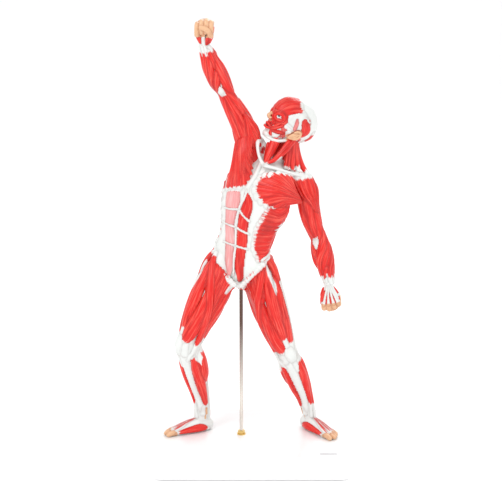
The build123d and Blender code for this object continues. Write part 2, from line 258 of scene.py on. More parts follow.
# The small printed label has rows of grey marks too fine to be letters.
label_ink = Finish("label_ink")
label_rows = label_ink.noise(label_ink.place(), 1400.0, detail=1.0)
label_ink.set(Base_Color=label_ink.mix(label_rows, (0.30, 0.31, 0.33), (0.66, 0.67, 0.68)), Roughness=0.5)
paint_node("label_plate", label_ink)

# ------------------------------------------------------------------ rod, pins and fasteners
# Drawn steel, polished along its length, a zinc-plated washer and nut under the base, and a yellow
# passivated flange nut on top of it.
rod_steel = Finish("rod_steel")
drawn = rod_steel.node("Mapping", Vector=rod_steel.place(), Scale=(1.0, 1.0, 0.02))
drawn_lines = rod_steel.noise(drawn, 3000.0, detail=2.0)
rod_height = rod_steel.node("SeparateXYZ", 2, Vector=rod_steel.place())
# The rod turns darker and browner from 0.07 m to 0.16 m up its height.
upper_rod_darkening = ((rod_height - 0.07) / 0.09).clamped()
bright_steel = rod_steel.mix(drawn_lines, (0.66, 0.62, 0.56), (0.80, 0.76, 0.70))
rod_steel.set(
    Base_Color=rod_steel.mix(upper_rod_darkening, bright_steel, (0.13, 0.085, 0.07)),
    Metallic=1.0,
    Roughness=0.20 + 0.12 * drawn_lines,
)
rod_steel.dents(drawn_lines, 0.00003, 0.5)
for name in ("support_rod", "right_foot_pin", "left_foot_pin"):
    paint_node(name, rod_steel)

zinc_steel = Finish("zinc_steel")
spangle = zinc_steel.noise(zinc_steel.place(), 1200.0, detail=3.0)
zinc_steel.set(
    Base_Color=zinc_steel.mix(spangle, (0.58, 0.60, 0.62), (0.74, 0.75, 0.76)),
    Metallic=1.0,
    Roughness=0.28 + 0.15 * spangle,
)
for name in ("lower_washer", "lower_nut"):
    paint_node(name, zinc_steel)

yellow_zinc = Finish("yellow_zinc")
bloom = yellow_zinc.noise(yellow_zinc.place(), 700.0, detail=3.0)
yellow_zinc.set(
    Base_Color=yellow_zinc.mix(bloom, (0.72, 0.46, 0.13), (0.86, 0.66, 0.28)),
    Metallic=1.0,
    Roughness=0.24 + 0.14 * bloom,
)
paint_node("flange_nut", yellow_zinc)

sleeve_plastic = Finish("sleeve_plastic")
sleeve_grain = sleeve_plastic.noise(sleeve_plastic.place(), 1500.0)
sleeve_plastic.set(
    Base_Color=sleeve_plastic.mix(sleeve_grain, (0.72, 0.71, 0.68), (0.80, 0.79, 0.76)), Roughness=0.5
)
for name in ("rod_sleeve", "right_foot_sleeve", "left_foot_sleeve"):
    paint_node(name, sleeve_plastic)

# ------------------------------------------------------------------ trunk
# Slush-moulded vinyl from a clay original: a smooth core with every muscle laid on it as a strap of
# clay, then painted. This section also holds the clay tools that all the figure's mouldings use.
voxel_coarseness = 1.0
field_far = 8.0  # distance in mm that stands for anywhere clear of the clay
unmet = 50.0  # distance of a point that no strap or stroke comes near
paint_limit = 8.0  # largest distance in mm from the edge of a paint that is kept
figure_scale = (figure_top - stand_top) * 1000.0 / 474.0  # the figure is 474 mm from soles to fist
stand_middle = np.array([(stand_low[0] + stand_high[0]) / 2, (stand_low[1] + stand_high[1]) / 2, stand_top])


def unit(vector):
    vector = np.asarray(vector, float)
    return vector / max(np.linalg.norm(vector), 1e-9)


def smooth_rows(rows, step):
    """Even curve through rows of numbers; the first three columns are a place."""
    rows = np.array(rows, float)
    padded = np.vstack([2 * rows[0] - rows[1], rows, 2 * rows[-1] - rows[-2]])
    made = []
    for i in range(len(rows) - 1):
        before, start, end, after = padded[i : i + 4]
        count = max(2, int(math.ceil(np.linalg.norm((end - start)[:3]) / step)))
        t = (np.arange(count) / count)[:, None]
        made.append(
            0.5
            * (
                2 * start
                + (end - before) * t
                + (2 * before - 5 * start + 4 * end - after) * t**2
                + (3 * start - before - 3 * end + after) * t**3
            )
        )
    made.append(rows[-1:])
    return np.vstack(made)


no_red = (1.0, 1.0)  # the stretch of red of a strap that is bone, tendon or skin all along


class Strap:
    """A strap of clay: rows of place (3), outward direction (3), half width and half thickness.

    red is the stretch of its length, from 0 to 1, that is painted as muscle; the rest is tendon.
    """

    def __init__(self, rows, red=(0.0, 1.0), shift=0.0, tone=0.0, pale=0.0, step=2.5):
        made = smooth_rows(rows, step)
        self.place = made[:, :3]
        self.half_width = np.maximum(made[:, 6], 0.35)
        self.half_thickness = np.maximum(made[:, 7], 0.3)
        self.outward = made[:, 3:6] / np.linalg.norm(made[:, 3:6], axis=1)[:, None]
        run = np.linalg.norm(np.diff(self.place, axis=0), axis=1)
        self.along = np.concatenate([[0.0], np.cumsum(run)])
        self.red = red
        self.shift = shift
        self.tone = tone
        self.pale = pale

    def reach(self):
        return float(max(self.half_width.max(), self.half_thickness.max()))

    def measure(self, points, i):
        """Distance of points from piece i of the strap, with the place along and across it."""
        start, end = self.place[i], self.place[i + 1]
        run = end - start
        length = np.linalg.norm(run)
        along = run / length
        offset = points - start
        t = np.clip(offset @ along / length, 0.0, 1.0)
        outward = self.outward[i] + t[..., None] * (self.outward[i + 1] - self.outward[i])
        outward = outward - (outward @ along)[..., None] * along
        outward = outward / np.linalg.norm(outward, axis=-1)[..., None]
        side = np.cross(along, outward)
        offset = offset - t[..., None] * run
        u = np.sum(offset * outward, axis=-1)
        a = np.sum(offset * side, axis=-1)
        r = offset @ along
        w = self.half_width[i] + t * (self.half_width[i + 1] - self.half_width[i])
        h = self.half_thickness[i] + t * (self.half_thickness[i + 1] - self.half_thickness[i])
        cap = np.minimum(w, 2.0 * h)
        level = np.sqrt((a / w) ** 2 + (u / h) ** 2 + (r / cap) ** 2)
        slope = np.sqrt((a / w**2) ** 2 + (u / h**2) ** 2 + (r / cap**2) ** 2) + 1e-6
        distance = (level - 1.0) * level / slope
        return distance, self.along[i] + t * length, a


def blend_min(first, second, soft):
    """Smaller of two distances, with the corner between them softened."""
    if soft <= 0:
        return np.minimum(first, second)
    near = np.maximum(soft - np.abs(first - second), 0.0) / soft
    return np.minimum(first, second) - near * near * soft * 0.25


def points_near(places, strap, reach):
    """Numbers of the places that lie within reach of the box round a strap."""
    low = strap.place.min(axis=0) - reach
    high = strap.place.max(axis=0) + reach
    return np.nonzero(np.all((places > low) & (places < high), axis=1))[0]


class Clay:
    """The straps of one moulding, in the order that they are laid on; floor cuts it off flat below."""

    def __init__(self):
        self.groups = []
        self.strokes = []
        self.floor = None

    def lay(self, straps, soft=0.8, within=1.5):
        """Lay straps that blend into one muscle, and blend that muscle onto the rest."""
        straps = straps if isinstance(straps, list) else [straps]
        self.groups.append((straps, soft, within))

    def brush(self, rows, width, paint="white", depth=7.0):
        """Paint a stroke along rows of place and outward direction; width is one half width, or one a row."""
        widths = width if isinstance(width, tuple) else [width] * len(rows)
        rows = [(*row[:6], half, 1.0) for row, half in zip(rows, widths)]
        self.strokes.append((Strap(rows, step=2.0), paint, depth))


def sheet(curves, count, red=(0.0, 1.0), width=0.62, tone=0.0, pale=0.0, jitter=0.03):
    """Fan of straps across curves of rows: each strap runs from the first curve to the last one."""
    dense = []
    for curve in curves:
        fine = smooth_rows(curve, 1.0) if len(curve) > 1 else np.array([curve[0]] * 2, float)
        dense.append(fine)
    straps = []
    offset = 0.0
    for i in range(count):
        share = i / (count - 1) if count > 1 else 0.5
        rows = []
        for fine in dense:
            at = share * (len(fine) - 1)
            j = min(int(at), len(fine) - 2)
            rows.append(fine[j] + (at - j) * (fine[j + 1] - fine[j]))
        rows = np.array(rows)
        if straps:
            gap = np.linalg.norm(rows[:, :3] - last_rows[:, :3], axis=1)
            offset += gap.mean()
        last_rows = rows.copy()
        wobble = jitter * math.sin(7.1 * i + 1.3)
        straps.append([rows, (red[0] + (wobble if red[0] > 0.01 else 0),
                              red[1] + (wobble if red[1] < 0.99 else 0)), offset])
    made = []
    for i, (rows, reds, shift) in enumerate(straps):
        neighbours = [straps[j][0] for j in (i - 1, i + 1) if 0 <= j < count]
        spacing = np.mean([np.linalg.norm(rows[:, :3] - other[:, :3], axis=1) for other in neighbours],
                          axis=0)
        rows = rows.copy()
        rows[:, 6] = np.maximum(spacing * width, 1.0)
        made.append(Strap(rows, red=reds, shift=shift, tone=tone + 0.08 * math.sin(3.7 * i), pale=pale))
    return made


def net_surface(field, low, cell):
    """Closed quad mesh of the zero level of a field of distances."""
    inside = field < 0
    nx, ny, nz = field.shape
    corners = [(i, j, k) for i in (0, 1) for j in (0, 1) for k in (0, 1)]
    filled = np.zeros((nx - 1, ny - 1, nz - 1), np.int8)
    for i, j, k in corners:
        filled += inside[i : nx - 1 + i, j : ny - 1 + j, k : nz - 1 + k]
    mixed = (filled > 0) & (filled < 8)
    cells = np.argwhere(mixed)
    number = np.full(mixed.shape, -1, np.int32)
    number[mixed] = np.arange(len(cells))
    total = np.zeros((len(cells), 3))
    hits = np.zeros(len(cells))
    for first in corners:
        for axis in range(3):
            if first[axis]:
                continue
            second = tuple(1 if n == axis else first[n] for n in range(3))
            a = field[cells[:, 0] + first[0], cells[:, 1] + first[1], cells[:, 2] + first[2]]
            b = field[cells[:, 0] + second[0], cells[:, 1] + second[1], cells[:, 2] + second[2]]
            cut = (a < 0) != (b < 0)
            t = np.where(cut, a / np.where(cut, a - b, 1.0), 0.0)
            spot = np.array(first, float) + t[:, None] * (np.array(second) - np.array(first))
            total += np.where(cut[:, None], spot, 0.0)
            hits += cut
    places = low + (cells + total / hits[:, None]) * cell
    quads = []
    for axis in range(3):
        ahead = [slice(None)] * 3
        behind = [slice(None)] * 3
        ahead[axis] = slice(1, None)
        behind[axis] = slice(0, -1)
        a = inside[tuple(behind)]
        b = inside[tuple(ahead)]
        crossing = np.argwhere(a != b)
        one, two = [n for n in range(3) if n != axis]
        fits = (crossing[:, one] > 0) & (crossing[:, two] > 0)
        fits &= (crossing[:, one] < field.shape[one] - 1) & (crossing[:, two] < field.shape[two] - 1)
        crossing = crossing[fits]
        out = a[crossing[:, 0], crossing[:, 1], crossing[:, 2]]
        around = []
        for d_one, d_two in ((-1, -1), (0, -1), (0, 0), (-1, 0)):
            spot = crossing.copy()
            spot[:, one] += d_one
            spot[:, two] += d_two
            around.append(number[spot[:, 0], spot[:, 1], spot[:, 2]])
        quad = np.stack(around, axis=1)
        flip = out if axis != 1 else ~out
        quad[~flip] = quad[~flip][:, ::-1]
        quads.append(quad)
    return places, np.vstack(quads)


def cast(name, clay, cell, body="figure"):
    """Turn laid clay into a painted moulding that stands for the CAD node of the same name."""
    cell = cell * voxel_coarseness
    low = np.full(3, 1e9)
    high = np.full(3, -1e9)
    for straps, _, _ in clay.groups:
        for strap in straps:
            low = np.minimum(low, strap.place.min(axis=0) - strap.reach() - 3 * cell)
            high = np.maximum(high, strap.place.max(axis=0) + strap.reach() + 3 * cell)
    if clay.floor is not None:
        low[2] = max(low[2], clay.floor - 2.37 * cell)
    count = np.ceil((high - low) / cell).astype(int) + 1
    field = np.full(count, field_far, np.float32)
    margin = 2.5 + 2 * cell
    for straps, soft, within in clay.groups:
        group_low = np.min([s.place.min(axis=0) - s.reach() - margin for s in straps], axis=0)
        group_high = np.max([s.place.max(axis=0) + s.reach() + margin for s in straps], axis=0)
        start = np.clip(np.floor((group_low - low) / cell).astype(int), 0, count - 1)
        stop = np.clip(np.ceil((group_high - low) / cell).astype(int) + 1, 1, count)
        if np.any(stop <= start):
            continue
        group_field = np.full(stop - start, field_far, np.float32)
        for strap in straps:
            strap_field = np.full(stop - start, field_far, np.float32)
            for i in range(len(strap.place) - 1):
                ends = strap.place[i : i + 2]
                room = max(strap.half_width[i : i + 2].max(), strap.half_thickness[i : i + 2].max()) + margin
                a = np.clip(np.floor((ends.min(axis=0) - room - low) / cell).astype(int), start, stop)
                b = np.clip(np.ceil((ends.max(axis=0) + room - low) / cell).astype(int) + 1, start, stop)
                if np.any(b <= a):
                    continue
                axes = [low[n] + cell * np.arange(a[n], b[n]) for n in range(3)]
                points = np.stack(np.meshgrid(*axes, indexing="ij"), axis=-1)
                distance, _, _ = strap.measure(points, i)
                part = tuple(slice(a[n] - start[n], b[n] - start[n]) for n in range(3))
                strap_field[part] = np.minimum(strap_field[part], distance)
            group_field = blend_min(group_field, strap_field, within)
        part = tuple(slice(start[n], stop[n]) for n in range(3))
        field[part] = blend_min(field[part], group_field, soft)
    if clay.floor is not None:
        heights = low[2] + cell * np.arange(count[2])
        field = np.maximum(field, (clay.floor - heights)[None, None, :])
    field[[0, -1]] = field_far
    field[:, [0, -1]] = field_far
    field[:, :, [0, -1]] = field_far
    places, quads = net_surface(field, low, cell)
    mesh = bpy.data.meshes.new(name + "_skin")
    mesh.vertices.add(len(places))
    world_places = stand_middle + places * figure_scale * 0.001
    mesh.vertices.foreach_set("co", world_places.astype(np.float32).ravel())
    mesh.loops.add(quads.size)
    mesh.loops.foreach_set("vertex_index", quads.astype(np.int32).ravel())
    mesh.polygons.add(len(quads))
    mesh.polygons.foreach_set("loop_start", np.arange(0, quads.size, 4, dtype=np.int32))
    mesh.polygons.foreach_set("loop_total", np.full(len(quads), 4, dtype=np.int32))
    mesh.update(calc_edges=True)
    mesh.validate()
    mesh.polygons.foreach_set("use_smooth", np.ones(len(mesh.polygons), bool))
    colour_skin(mesh, places, clay)
    mesh.materials.append(vinyl.material)
    piece = bpy.data.objects.new(name + "_skin", mesh)
    scene.collection.objects.link(piece)
    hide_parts(name)
    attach(piece, body)


def colour_skin(mesh, places, clay):
    """Store where every point lies on its muscle, how far it is from each paint's edge, and how deep in a
    crease between muscles it lies, for painted shade.
    """
    total = len(places)
    best = np.full(total, unmet)
    other = np.full(total, unmet)  # next nearest strap of another muscle
    sister = np.full(total, unmet)  # next nearest strap of the same muscle
    fibre = np.zeros((total, 3))
    white = np.full(total, 3.0)
    tone = np.zeros(total)
    pale = np.zeros(total)
    seed = 0
    for straps, _, _ in clay.groups:
        seed += 1
        for strap in straps:
            chosen = points_near(places, strap, strap.reach() + 3.0)
            if not len(chosen):
                continue
            points = places[chosen]
            distance = np.full(len(chosen), unmet)
            along = np.zeros(len(chosen))
            across = np.zeros(len(chosen))
            for i in range(len(strap.place) - 1):
                d, s, a = strap.measure(points, i)
                closer = d < distance
                distance = np.where(closer, d, distance)
                along = np.where(closer, s, along)
                across = np.where(closer, a, across)
            closer = distance < best[chosen]
            same = fibre[chosen, 2] == seed
            rival = np.where(closer, best[chosen], distance)
            sister[chosen] = np.where(same, np.minimum(sister[chosen], rival),
                                      np.where(closer, unmet, sister[chosen]))
            other[chosen] = np.where(same, other[chosen], np.minimum(other[chosen], rival))
            best[chosen] = np.where(closer, distance, best[chosen])
            picked = chosen[closer]
            fibre[picked, 0] = across[closer] + strap.shift
            fibre[picked, 1] = along[closer]
            fibre[picked, 2] = seed
            length = strap.along[-1]
            edge = np.full(closer.sum(), 6.0 if strap.red[0] >= 1.0 else -6.0)
            if strap.red[0] > 0.0:
                edge = np.maximum(edge, strap.red[0] * length - along[closer])
            if strap.red[1] < 1.0:
                edge = np.maximum(edge, along[closer] - strap.red[1] * length)
            white[picked] = edge
            tone[picked] = strap.tone
            pale[picked] = strap.pale
    skin = np.full(total, -6.0)
    ink = np.full(total, -6.0)
    normals = np.zeros(total * 3, np.float32)
    mesh.vertices.foreach_get("normal", normals)
    normals = normals.reshape(-1, 3)
    for strap, paint, depth in clay.strokes:
        chosen = points_near(places, strap, strap.reach() + depth)
        if not len(chosen):
            continue
        points = places[chosen]
        edge = np.full(len(chosen), unmet)
        for i in range(len(strap.place) - 1):
            start, end = strap.place[i], strap.place[i + 1]
            run = end - start
            length = np.linalg.norm(run)
            offset = points - start
            outward = unit(strap.outward[i] - (strap.outward[i] @ run) * run / length**2)
            t = np.clip(offset @ run / length**2, 0.0, 1.0)
            offset = offset - t[:, None] * run
            lift = offset @ outward
            flat = np.linalg.norm(offset - lift[:, None] * outward, axis=1)
            w = strap.half_width[i] + t * (strap.half_width[i + 1] - strap.half_width[i])
            here = flat - w
            here = np.where((np.abs(lift) < depth) & (normals[chosen] @ outward > 0.0), here, unmet)
            edge = np.minimum(edge, here)
        if paint == "white":
            white[chosen] = np.maximum(white[chosen], -1.6 * edge)
            pale[chosen] = np.where(edge < 0.3, 0.0, pale[chosen])
        elif paint == "red":
            white[chosen] = np.minimum(white[chosen], edge)
            skin[chosen] = np.minimum(skin[chosen], edge)
        elif paint == "skin":
            skin[chosen] = np.maximum(skin[chosen], -edge)
        elif paint == "dark red":
            white[chosen] = np.minimum(white[chosen], edge)
            tone[chosen] = np.where(edge < 0.5, -1.0, tone[chosen])
        elif paint == "ink":
            ink[chosen] = np.maximum(ink[chosen], -edge)
    # Painted shade: a point that another muscle's strap comes nearly as close to lies in a crease between
    # muscles and is darkened. Creases between the strands of one muscle are darkened less.
    painted_crease_shade = np.exp(-np.clip(other - best, 0.0, 9.0) / 0.55)
    painted_crease_shade = np.maximum(painted_crease_shade, 0.45 * np.exp(-np.clip(sister - best, 0.0, 9.0) / 0.5))
    store(mesh, "fibre", fibre)
    white, skin, ink = [np.clip(edge, -paint_limit, paint_limit) for edge in (white, skin, ink)]
    store(mesh, "paint", np.stack([white, skin, painted_crease_shade], axis=1))
    store(mesh, "shade", np.stack([tone, pale, ink], axis=1))


def store(mesh, name, values):
    layer = mesh.attributes.new(name, "FLOAT_VECTOR", "POINT")
    layer.data.foreach_set("vector", values.astype(np.float32).ravel())


# Acrylic paint under a satin varnish: saturated red bellies with fine paler strands along the
# fibres, tendons and fascia in warm white that run into the red in ragged points, and buff skin.
vinyl = Finish("painted_vinyl")
fibre = vinyl.node("Attribute", "Vector", settings={"attribute_name": "fibre"})
paint = vinyl.node("Attribute", "Vector", settings={"attribute_name": "paint"})
shade = vinyl.node("Attribute", "Vector", settings={"attribute_name": "shade"})
white_edge = vinyl.node("SeparateXYZ", 0, Vector=paint)
skin_edge = vinyl.node("SeparateXYZ", 1, Vector=paint)
painted_crease_shade = vinyl.node("SeparateXYZ", 2, Vector=paint)
tone = vinyl.node("SeparateXYZ", 0, Vector=shade)
pale = vinyl.node("SeparateXYZ", 1, Vector=shade)
ink_edge = vinyl.node("SeparateXYZ", 2, Vector=shade)
fine_fibre = vinyl.node("Mapping", Vector=fibre, Scale=(0.80, 0.045, 3.7))
broad_fibre = vinyl.node("Mapping", Vector=fibre, Scale=(0.30, 0.03, 2.3))
ragged_fibre = vinyl.node("Mapping", Vector=fibre, Scale=(0.9, 0.05, 1.9))
strands = vinyl.noise(fine_fibre, 1.0, detail=4.0, roughness=0.65)
bundles = vinyl.noise(broad_fibre, 1.0, detail=2.0)
points = vinyl.noise(ragged_fibre, 1.0, detail=2.0, roughness=0.7)
mottle = vinyl.noise(vinyl.place(), 260.0, detail=3.0)

white_mask = ((white_edge + (points - 0.5) * 8.0) / 1.6 + 0.5).clamped()
skin_mask = ((skin_edge + (mottle - 0.5) * 1.2) / 0.6 + 0.5).clamped()
strand_share = ((strands - 0.47) * 4.5).clamped()
dark_share = ((0.47 - bundles) * 4.0 + (0.44 - strands) * 2.0 - tone).clamped()
red = vinyl.mix(strand_share, (0.70, 0.010, 0.006), (0.86, 0.11, 0.078))
red = vinyl.mix(dark_share, red, (0.42, 0.003, 0.003))
pale_red = vinyl.mix(strand_share, (0.80, 0.34, 0.34), (0.88, 0.60, 0.58))
red = vinyl.mix(pale, red, pale_red)
# Painted shade: red, white and skin darken towards dark red, grey and brown in the creases between muscles.
red = vinyl.mix((painted_crease_shade * 0.75).clamped(), red, (0.34, 0.006, 0.006))
white = vinyl.mix(mottle, (0.69, 0.72, 0.70), (0.78, 0.79, 0.77))
white = vinyl.mix((painted_crease_shade * 0.6).clamped(), white, (0.44, 0.41, 0.39))
skin = vinyl.mix(mottle, (0.66, 0.36, 0.20), (0.78, 0.50, 0.30))
skin = vinyl.mix((painted_crease_shade * 0.8).clamped(), skin, (0.45, 0.17, 0.09))
body_colour = vinyl.mix(white_mask, red, white)
body_colour = vinyl.mix(skin_mask, body_colour, skin)
body_colour = vinyl.mix((ink_edge / 0.5 + 0.5).clamped(), body_colour, (0.02, 0.02, 0.03))
vinyl.set(
    Base_Color=body_colour,
    Roughness=0.34 + 0.16 * strands,
    Coat_Weight=0.12,
    Coat_Roughness=0.15,
    Specular_IOR_Level=0.35,
)
vinyl.dents(strands * (1 - white_mask * 0.8), 0.0006, 0.6)

# Sections of the trunk's core, from the crotch up to the top of the neck: middle, half width and
# half depth. The core is twisted to the figure's right of straight ahead.
trunk_twist = math.radians(-26.0)
trunk_core = smooth_rows(
    [
        (-12.8, -3.0, 186.0, 5.0, 6.0),
        (-13.0, -2.0, 192.0, 10.0, 10.0),
        (-12.6, -0.8, 200.0, 21.0, 14.0),
        (-12.0, 0.6, 210.0, 31.0, 17.2),
        (-10.0, 1.0, 220.0, 31.5, 17.5),
        (-7.5, 1.0, 231.0, 30.5, 16.5),
        (-3.0, 1.0, 250.0, 33.5, 18.5),
        (2.2, 1.0, 269.0, 39.5, 21.0),
        (7.0, 1.0, 286.0, 38.5, 21.5),
        (12.0, 1.5, 299.0, 30.0, 19.0),
        (20.0, 3.0, 311.0, 17.0, 14.5),
        (30.0, 3.0, 324.0, 11.5, 11.5),
        (39.0, 4.0, 336.0, 10.5, 10.5),
        (45.0, 3.0, 346.0, 10.0, 10.0),
    ],
    2.0,
)


def core_section(level):
    """Middle, across and front directions and half sizes of the trunk's core at a height."""
    heights = trunk_core[:, 2]
    x, y, w, d = [np.interp(level, heights, trunk_core[:, n]) for n in (0, 1, 3, 4)]
    step = 4.0
    ahead = np.array([np.interp(level + step, heights, trunk_core[:, n]) for n in (0, 1)])
    behind = np.array([np.interp(level - step, heights, trunk_core[:, n]) for n in (0, 1)])
    up = unit([*(ahead - behind), 2 * step])
    faced = np.array([math.sin(trunk_twist), -math.cos(trunk_twist), 0.0])
    across = unit(np.cross(up, faced))
    front = np.cross(across, up)
    return np.array([x, y, level]), across, front, w, d


def on_trunk(level, degrees, lift=0.0, w=2.0, h=1.5):
    """Row on the trunk: 0 degrees is the middle of the front and 90 the figure's left side."""
    middle, across, front, half_w, half_d = core_section(level)
    turn = math.radians(degrees)
    surface = middle + across * half_w * math.sin(turn) + front * half_d * math.cos(turn)
    outward = unit(across * math.sin(turn) / half_w + front * math.cos(turn) / half_d)
    return (*(surface + outward * (lift - h)), *outward, w, h)


def down_trunk(lift, w, h, *stops, side=1):
    """Rows on the trunk at stops of level and angle; a side of -1 turns the angles over."""
    return [on_trunk(level, side * degrees, lift, w, h) for level, degrees in stops]


front_levels = np.arange(186, 346, 1.5)
front_degrees = np.arange(-120, 150, 2.5)
front_table = np.array(
    [(level, degrees, *on_trunk(level, degrees)[:3]) for level in front_levels for degrees in front_degrees]
)


def facing(x, z):
    """Level and angle of the point of the trunk's front that is seen at x and z."""
    seen = front_table[front_table[:, 3] < 3.0]
    best = np.argmin((seen[:, 2] - x) ** 2 + (seen[:, 4] - z) ** 2)
    return seen[best, 0], seen[best, 1]


trunk = Clay()
core_rows = []
for level in (186, 192, 200, 210, 220, 231, 250, 269, 286, 299, 311, 324, 336, 346):
    middle, across, front, half_w, half_d = core_section(level)
    core_rows.append((*middle, *front, half_w, half_d))
trunk_body = Strap(core_rows, red=no_red, step=3.0)
trunk.lay(trunk_body, soft=0.0)


def at_front(x, z, lift=0.0, w=2.0, h=1.5):
    """Row on the trunk's front where it is seen at x and z, settled on the core's true surface."""
    row = on_trunk(*facing(x, z))
    outward = np.array(row[3:6])
    spot = np.array(row[:3]) + 1.5 * outward
    for _ in range(4):
        spot = spot - outward * min(trunk_body.measure(spot[None, :], i)[0][0]
                                    for i in range(len(trunk_body.place) - 1))
    return (*(spot + outward * (lift - h)), *outward, w, h)


# Straight abdominal muscles side by side; the right one shows pink through its sheath.
left_column = [(-5.0, 286, 2.4), (-3.8, 274, 6.6), (-7.4, 256, 7.0), (-10.0, 240, 6.6), (-11.3, 222, 6.6),
               (-12.4, 202, 5.6), (-13.6, 187, 3.0),
               (-14.6, 179, 1.8)]
right_column = [(-19.5, 285, 10.0), (-19.8, 276, 10.8), (-21.8, 264, 8.6), (-22.8, 248, 7.0),
                (-23.6, 227, 6.4), (-24.0, 209, 5.9),
                (-21.4, 194, 5.4), (-18.0, 184, 4.0), (-16.4, 178, 2.4)]
for column, pale_share in ((left_column, 0.0), (right_column, 1.0)):
    rows = [at_front(x, z, 1.2, w, 2.2) for x, z, w in column]
    trunk.lay(Strap(rows, red=(0.0, 1.0), pale=pale_share), soft=0.7)

# White line down the middle and the white bands across, as thin raised cords.
midline = [(-4.0, 288), (-6.5, 281), (-12.9, 266), (-16.3, 246), (-17.5, 225), (-18.3, 209), (-17.0, 192),
           (-14.5, 183)]
bands = [
    [(-12.9, 266), (-7.5, 260.5), (-1.0, 254)],
    [(-16.2, 246.5), (-10.5, 243), (-2.6, 239.6)],
    [(-17.4, 225), (-11.8, 223.6), (-3.8, 222)],
    [(-12.9, 266), (-21.0, 266), (-31.5, 266.2)],
    [(-16.2, 246.5), (-22.5, 247.4), (-30.6, 248.8)],
    [(-17.4, 225), (-23.5, 226), (-30.6, 227.8)],
]
cords = [(midline, 1.15)] + [(band, 0.95) for band in bands]
for cord, width in cords:
    rows = [at_front(x, z, 2.0, width, 1.0) for x, z in cord]
    trunk.lay(Strap(rows, red=no_red), soft=0.4)

# Flat flank muscles. They come down and forward from the ribs and end in ragged points on the white
# sheath, further forward on the left, which is turned to the front.
left_sheath = [at_front(x, z, 1.1, 3, 1.5)
               for x, z in ((19.0, 271), (11.0, 257), (6.0, 245), (3.0, 233), (2.4, 223), (6.0, 211.5))]
left_middle = down_trunk(2.0, 3, 2.0, (274, 66), (263, 68), (251, 70), (240, 72), (229, 74), (219, 76))
left_ribs = down_trunk(2.0, 3, 2.0, (284, 84), (274, 92), (262, 100), (250, 106), (238, 112), (226, 118))
right_sheath = down_trunk(1.4, 3, 1.6, (274, -68), (257, -68), (243, -68), (231, -70), (221, -76), (213, -84))
right_ribs = down_trunk(2.0, 3, 2.0, (288, -92), (274, -96), (260, -102), (248, -108), (236, -116),
                        (226, -124))
trunk.lay(sheet([left_ribs, left_middle, left_sheath], 12, red=(0.0, 0.98), width=0.8, jitter=0.01), soft=0.8,
          within=0.9)
trunk.lay(sheet([right_ribs, right_sheath], 8, red=(0.0, 0.9), width=0.66), soft=0.8, within=0.9)
for side in (1, -1):
    # Broad back muscle, from the armpit round to the small of the back.
    top = [on_trunk(300, side * 118, 3.0, 4, 3.0), on_trunk(296, side * 112, 3.5, 4, 3.0)]
    flank = down_trunk(2.6, 4, 2.4, (290, 158), (276, 146), (262, 136), (250, 128), (242, 116), side=side)
    spine = down_trunk(0.8, 4, 1.5, (276, 174), (258, 170), (242, 163), (228, 152), (216, 138), side=side)
    trunk.lay(sheet([top, flank, spine], 7, red=(0.0, 0.84), width=0.66), soft=0.8, within=1.0)
    # Columns either side of the spine, under white fascia.
    rows = [on_trunk(level, side * 168, lift, 5.5, 3.0)
            for level, lift in ((204, 0.5), (220, 2.0), (240, 2.2), (262, 1.5))]
    trunk.lay(Strap(rows, red=no_red), soft=2.0)
    # Hood muscle: upper part from the neck to the shoulder's tip, middle and lower part to the spine.
    shoulder = [on_trunk(305, side * 84, 2.0, 3, 2.4), on_trunk(303, side * 106, 2.6, 3, 2.4),
                on_trunk(300, side * 128, 2.6, 3, 2.2), on_trunk(294, side * 142, 2.2, 3, 2.0)]
    back_line = [on_trunk(346, side * 150, 1.2, 3, 2.0), on_trunk(322, side * 172, 1.6, 3, 2.2),
                 on_trunk(300, side * 178, 1.8, 3, 2.0), on_trunk(268, side * 178, 1.2, 3, 1.5)]
    half_way = [on_trunk(326, side * 112, 2.4, 3, 2.6), on_trunk(315, side * 134, 2.6, 3, 2.6),
                on_trunk(304, side * 152, 2.4, 3, 2.2), on_trunk(284, side * 162, 2.0, 3, 1.8)]
    trunk.lay(sheet([back_line, half_way, shoulder], 9, red=(0.10, 0.92), width=0.66), soft=0.8, within=1.0)
    # Muscles over the shoulder blade.
    for level, spread in ((296, 2.8), (290, 3.4), (283, 3.6)):
        rows = [on_trunk(level - 4, side * 158, 2.5, 2.0, 2),
                on_trunk(level - 1, side * 140, 3.6, spread, 3.0),
                on_trunk(level + 3, side * 118, 3.2, 2.4, 2.4)]
        trunk.lay(Strap(rows, red=(0.06, 0.94)), soft=0.7)

# Left chest muscle: a fan from the collar bone, breastbone and ribs to the upper arm.
chest_origin = [(41.0, -16.5, 303.5, 0.3, -1, 0.4, 3, 1.8), (32.0, -20.5, 306.0, 0, -1, 0.4, 3, 1.8),
                (21.0, -22.0, 306.0, -0.2, -1, 0.3, 3, 1.8),
                at_front(10.4, 302, 0.9, 3, 1.5), at_front(4.8, 295, 0.9, 3, 1.5),
                at_front(3.6, 286, 0.9, 3, 1.5), at_front(7.8, 278, 0.9, 3, 1.5),
                at_front(15.0, 273, 0.9, 3, 1.5), at_front(25.0, 270.5, 0.9, 3, 1.5),
                at_front(36.0, 272, 1.2, 3, 1.6)]
chest_middle = [(44.0, -17.5, 296.0, 0.3, -1, 0.3, 3, 3.4), (39.0, -20.5, 297.0, 0.1, -1, 0.3, 3, 3.8),
                (34.0, -23.0, 297.0, 0, -1, 0.2, 3, 4),
                (30.0, -24.6, 293.0, 0, -1, 0.1, 3, 4), (29.0, -25.0, 288.0, 0, -1, 0, 3, 4),
                (31.0, -24.6, 282.0, 0.1, -1, -0.1, 3, 4),
                (35.0, -23.4, 277.0, 0.1, -1, -0.2, 3, 3.6), (40.0, -21.0, 274.0, 0.2, -1, -0.3, 3, 3)]
chest_root = [(49.0, -14.5, 285.0, 0.4, -1, 0.1, 3, 3.4), (52.0, -14.0, 279.0, 0.4, -1, 0, 3, 3.4),
              (54.0, -13.0, 274.0, 0.4, -1, -0.1, 3, 3)]
trunk.lay(sheet([chest_origin, chest_middle, chest_root], 14, red=(0.05, 1.0), width=0.64, jitter=0.02),
          soft=0.8, within=1.0)

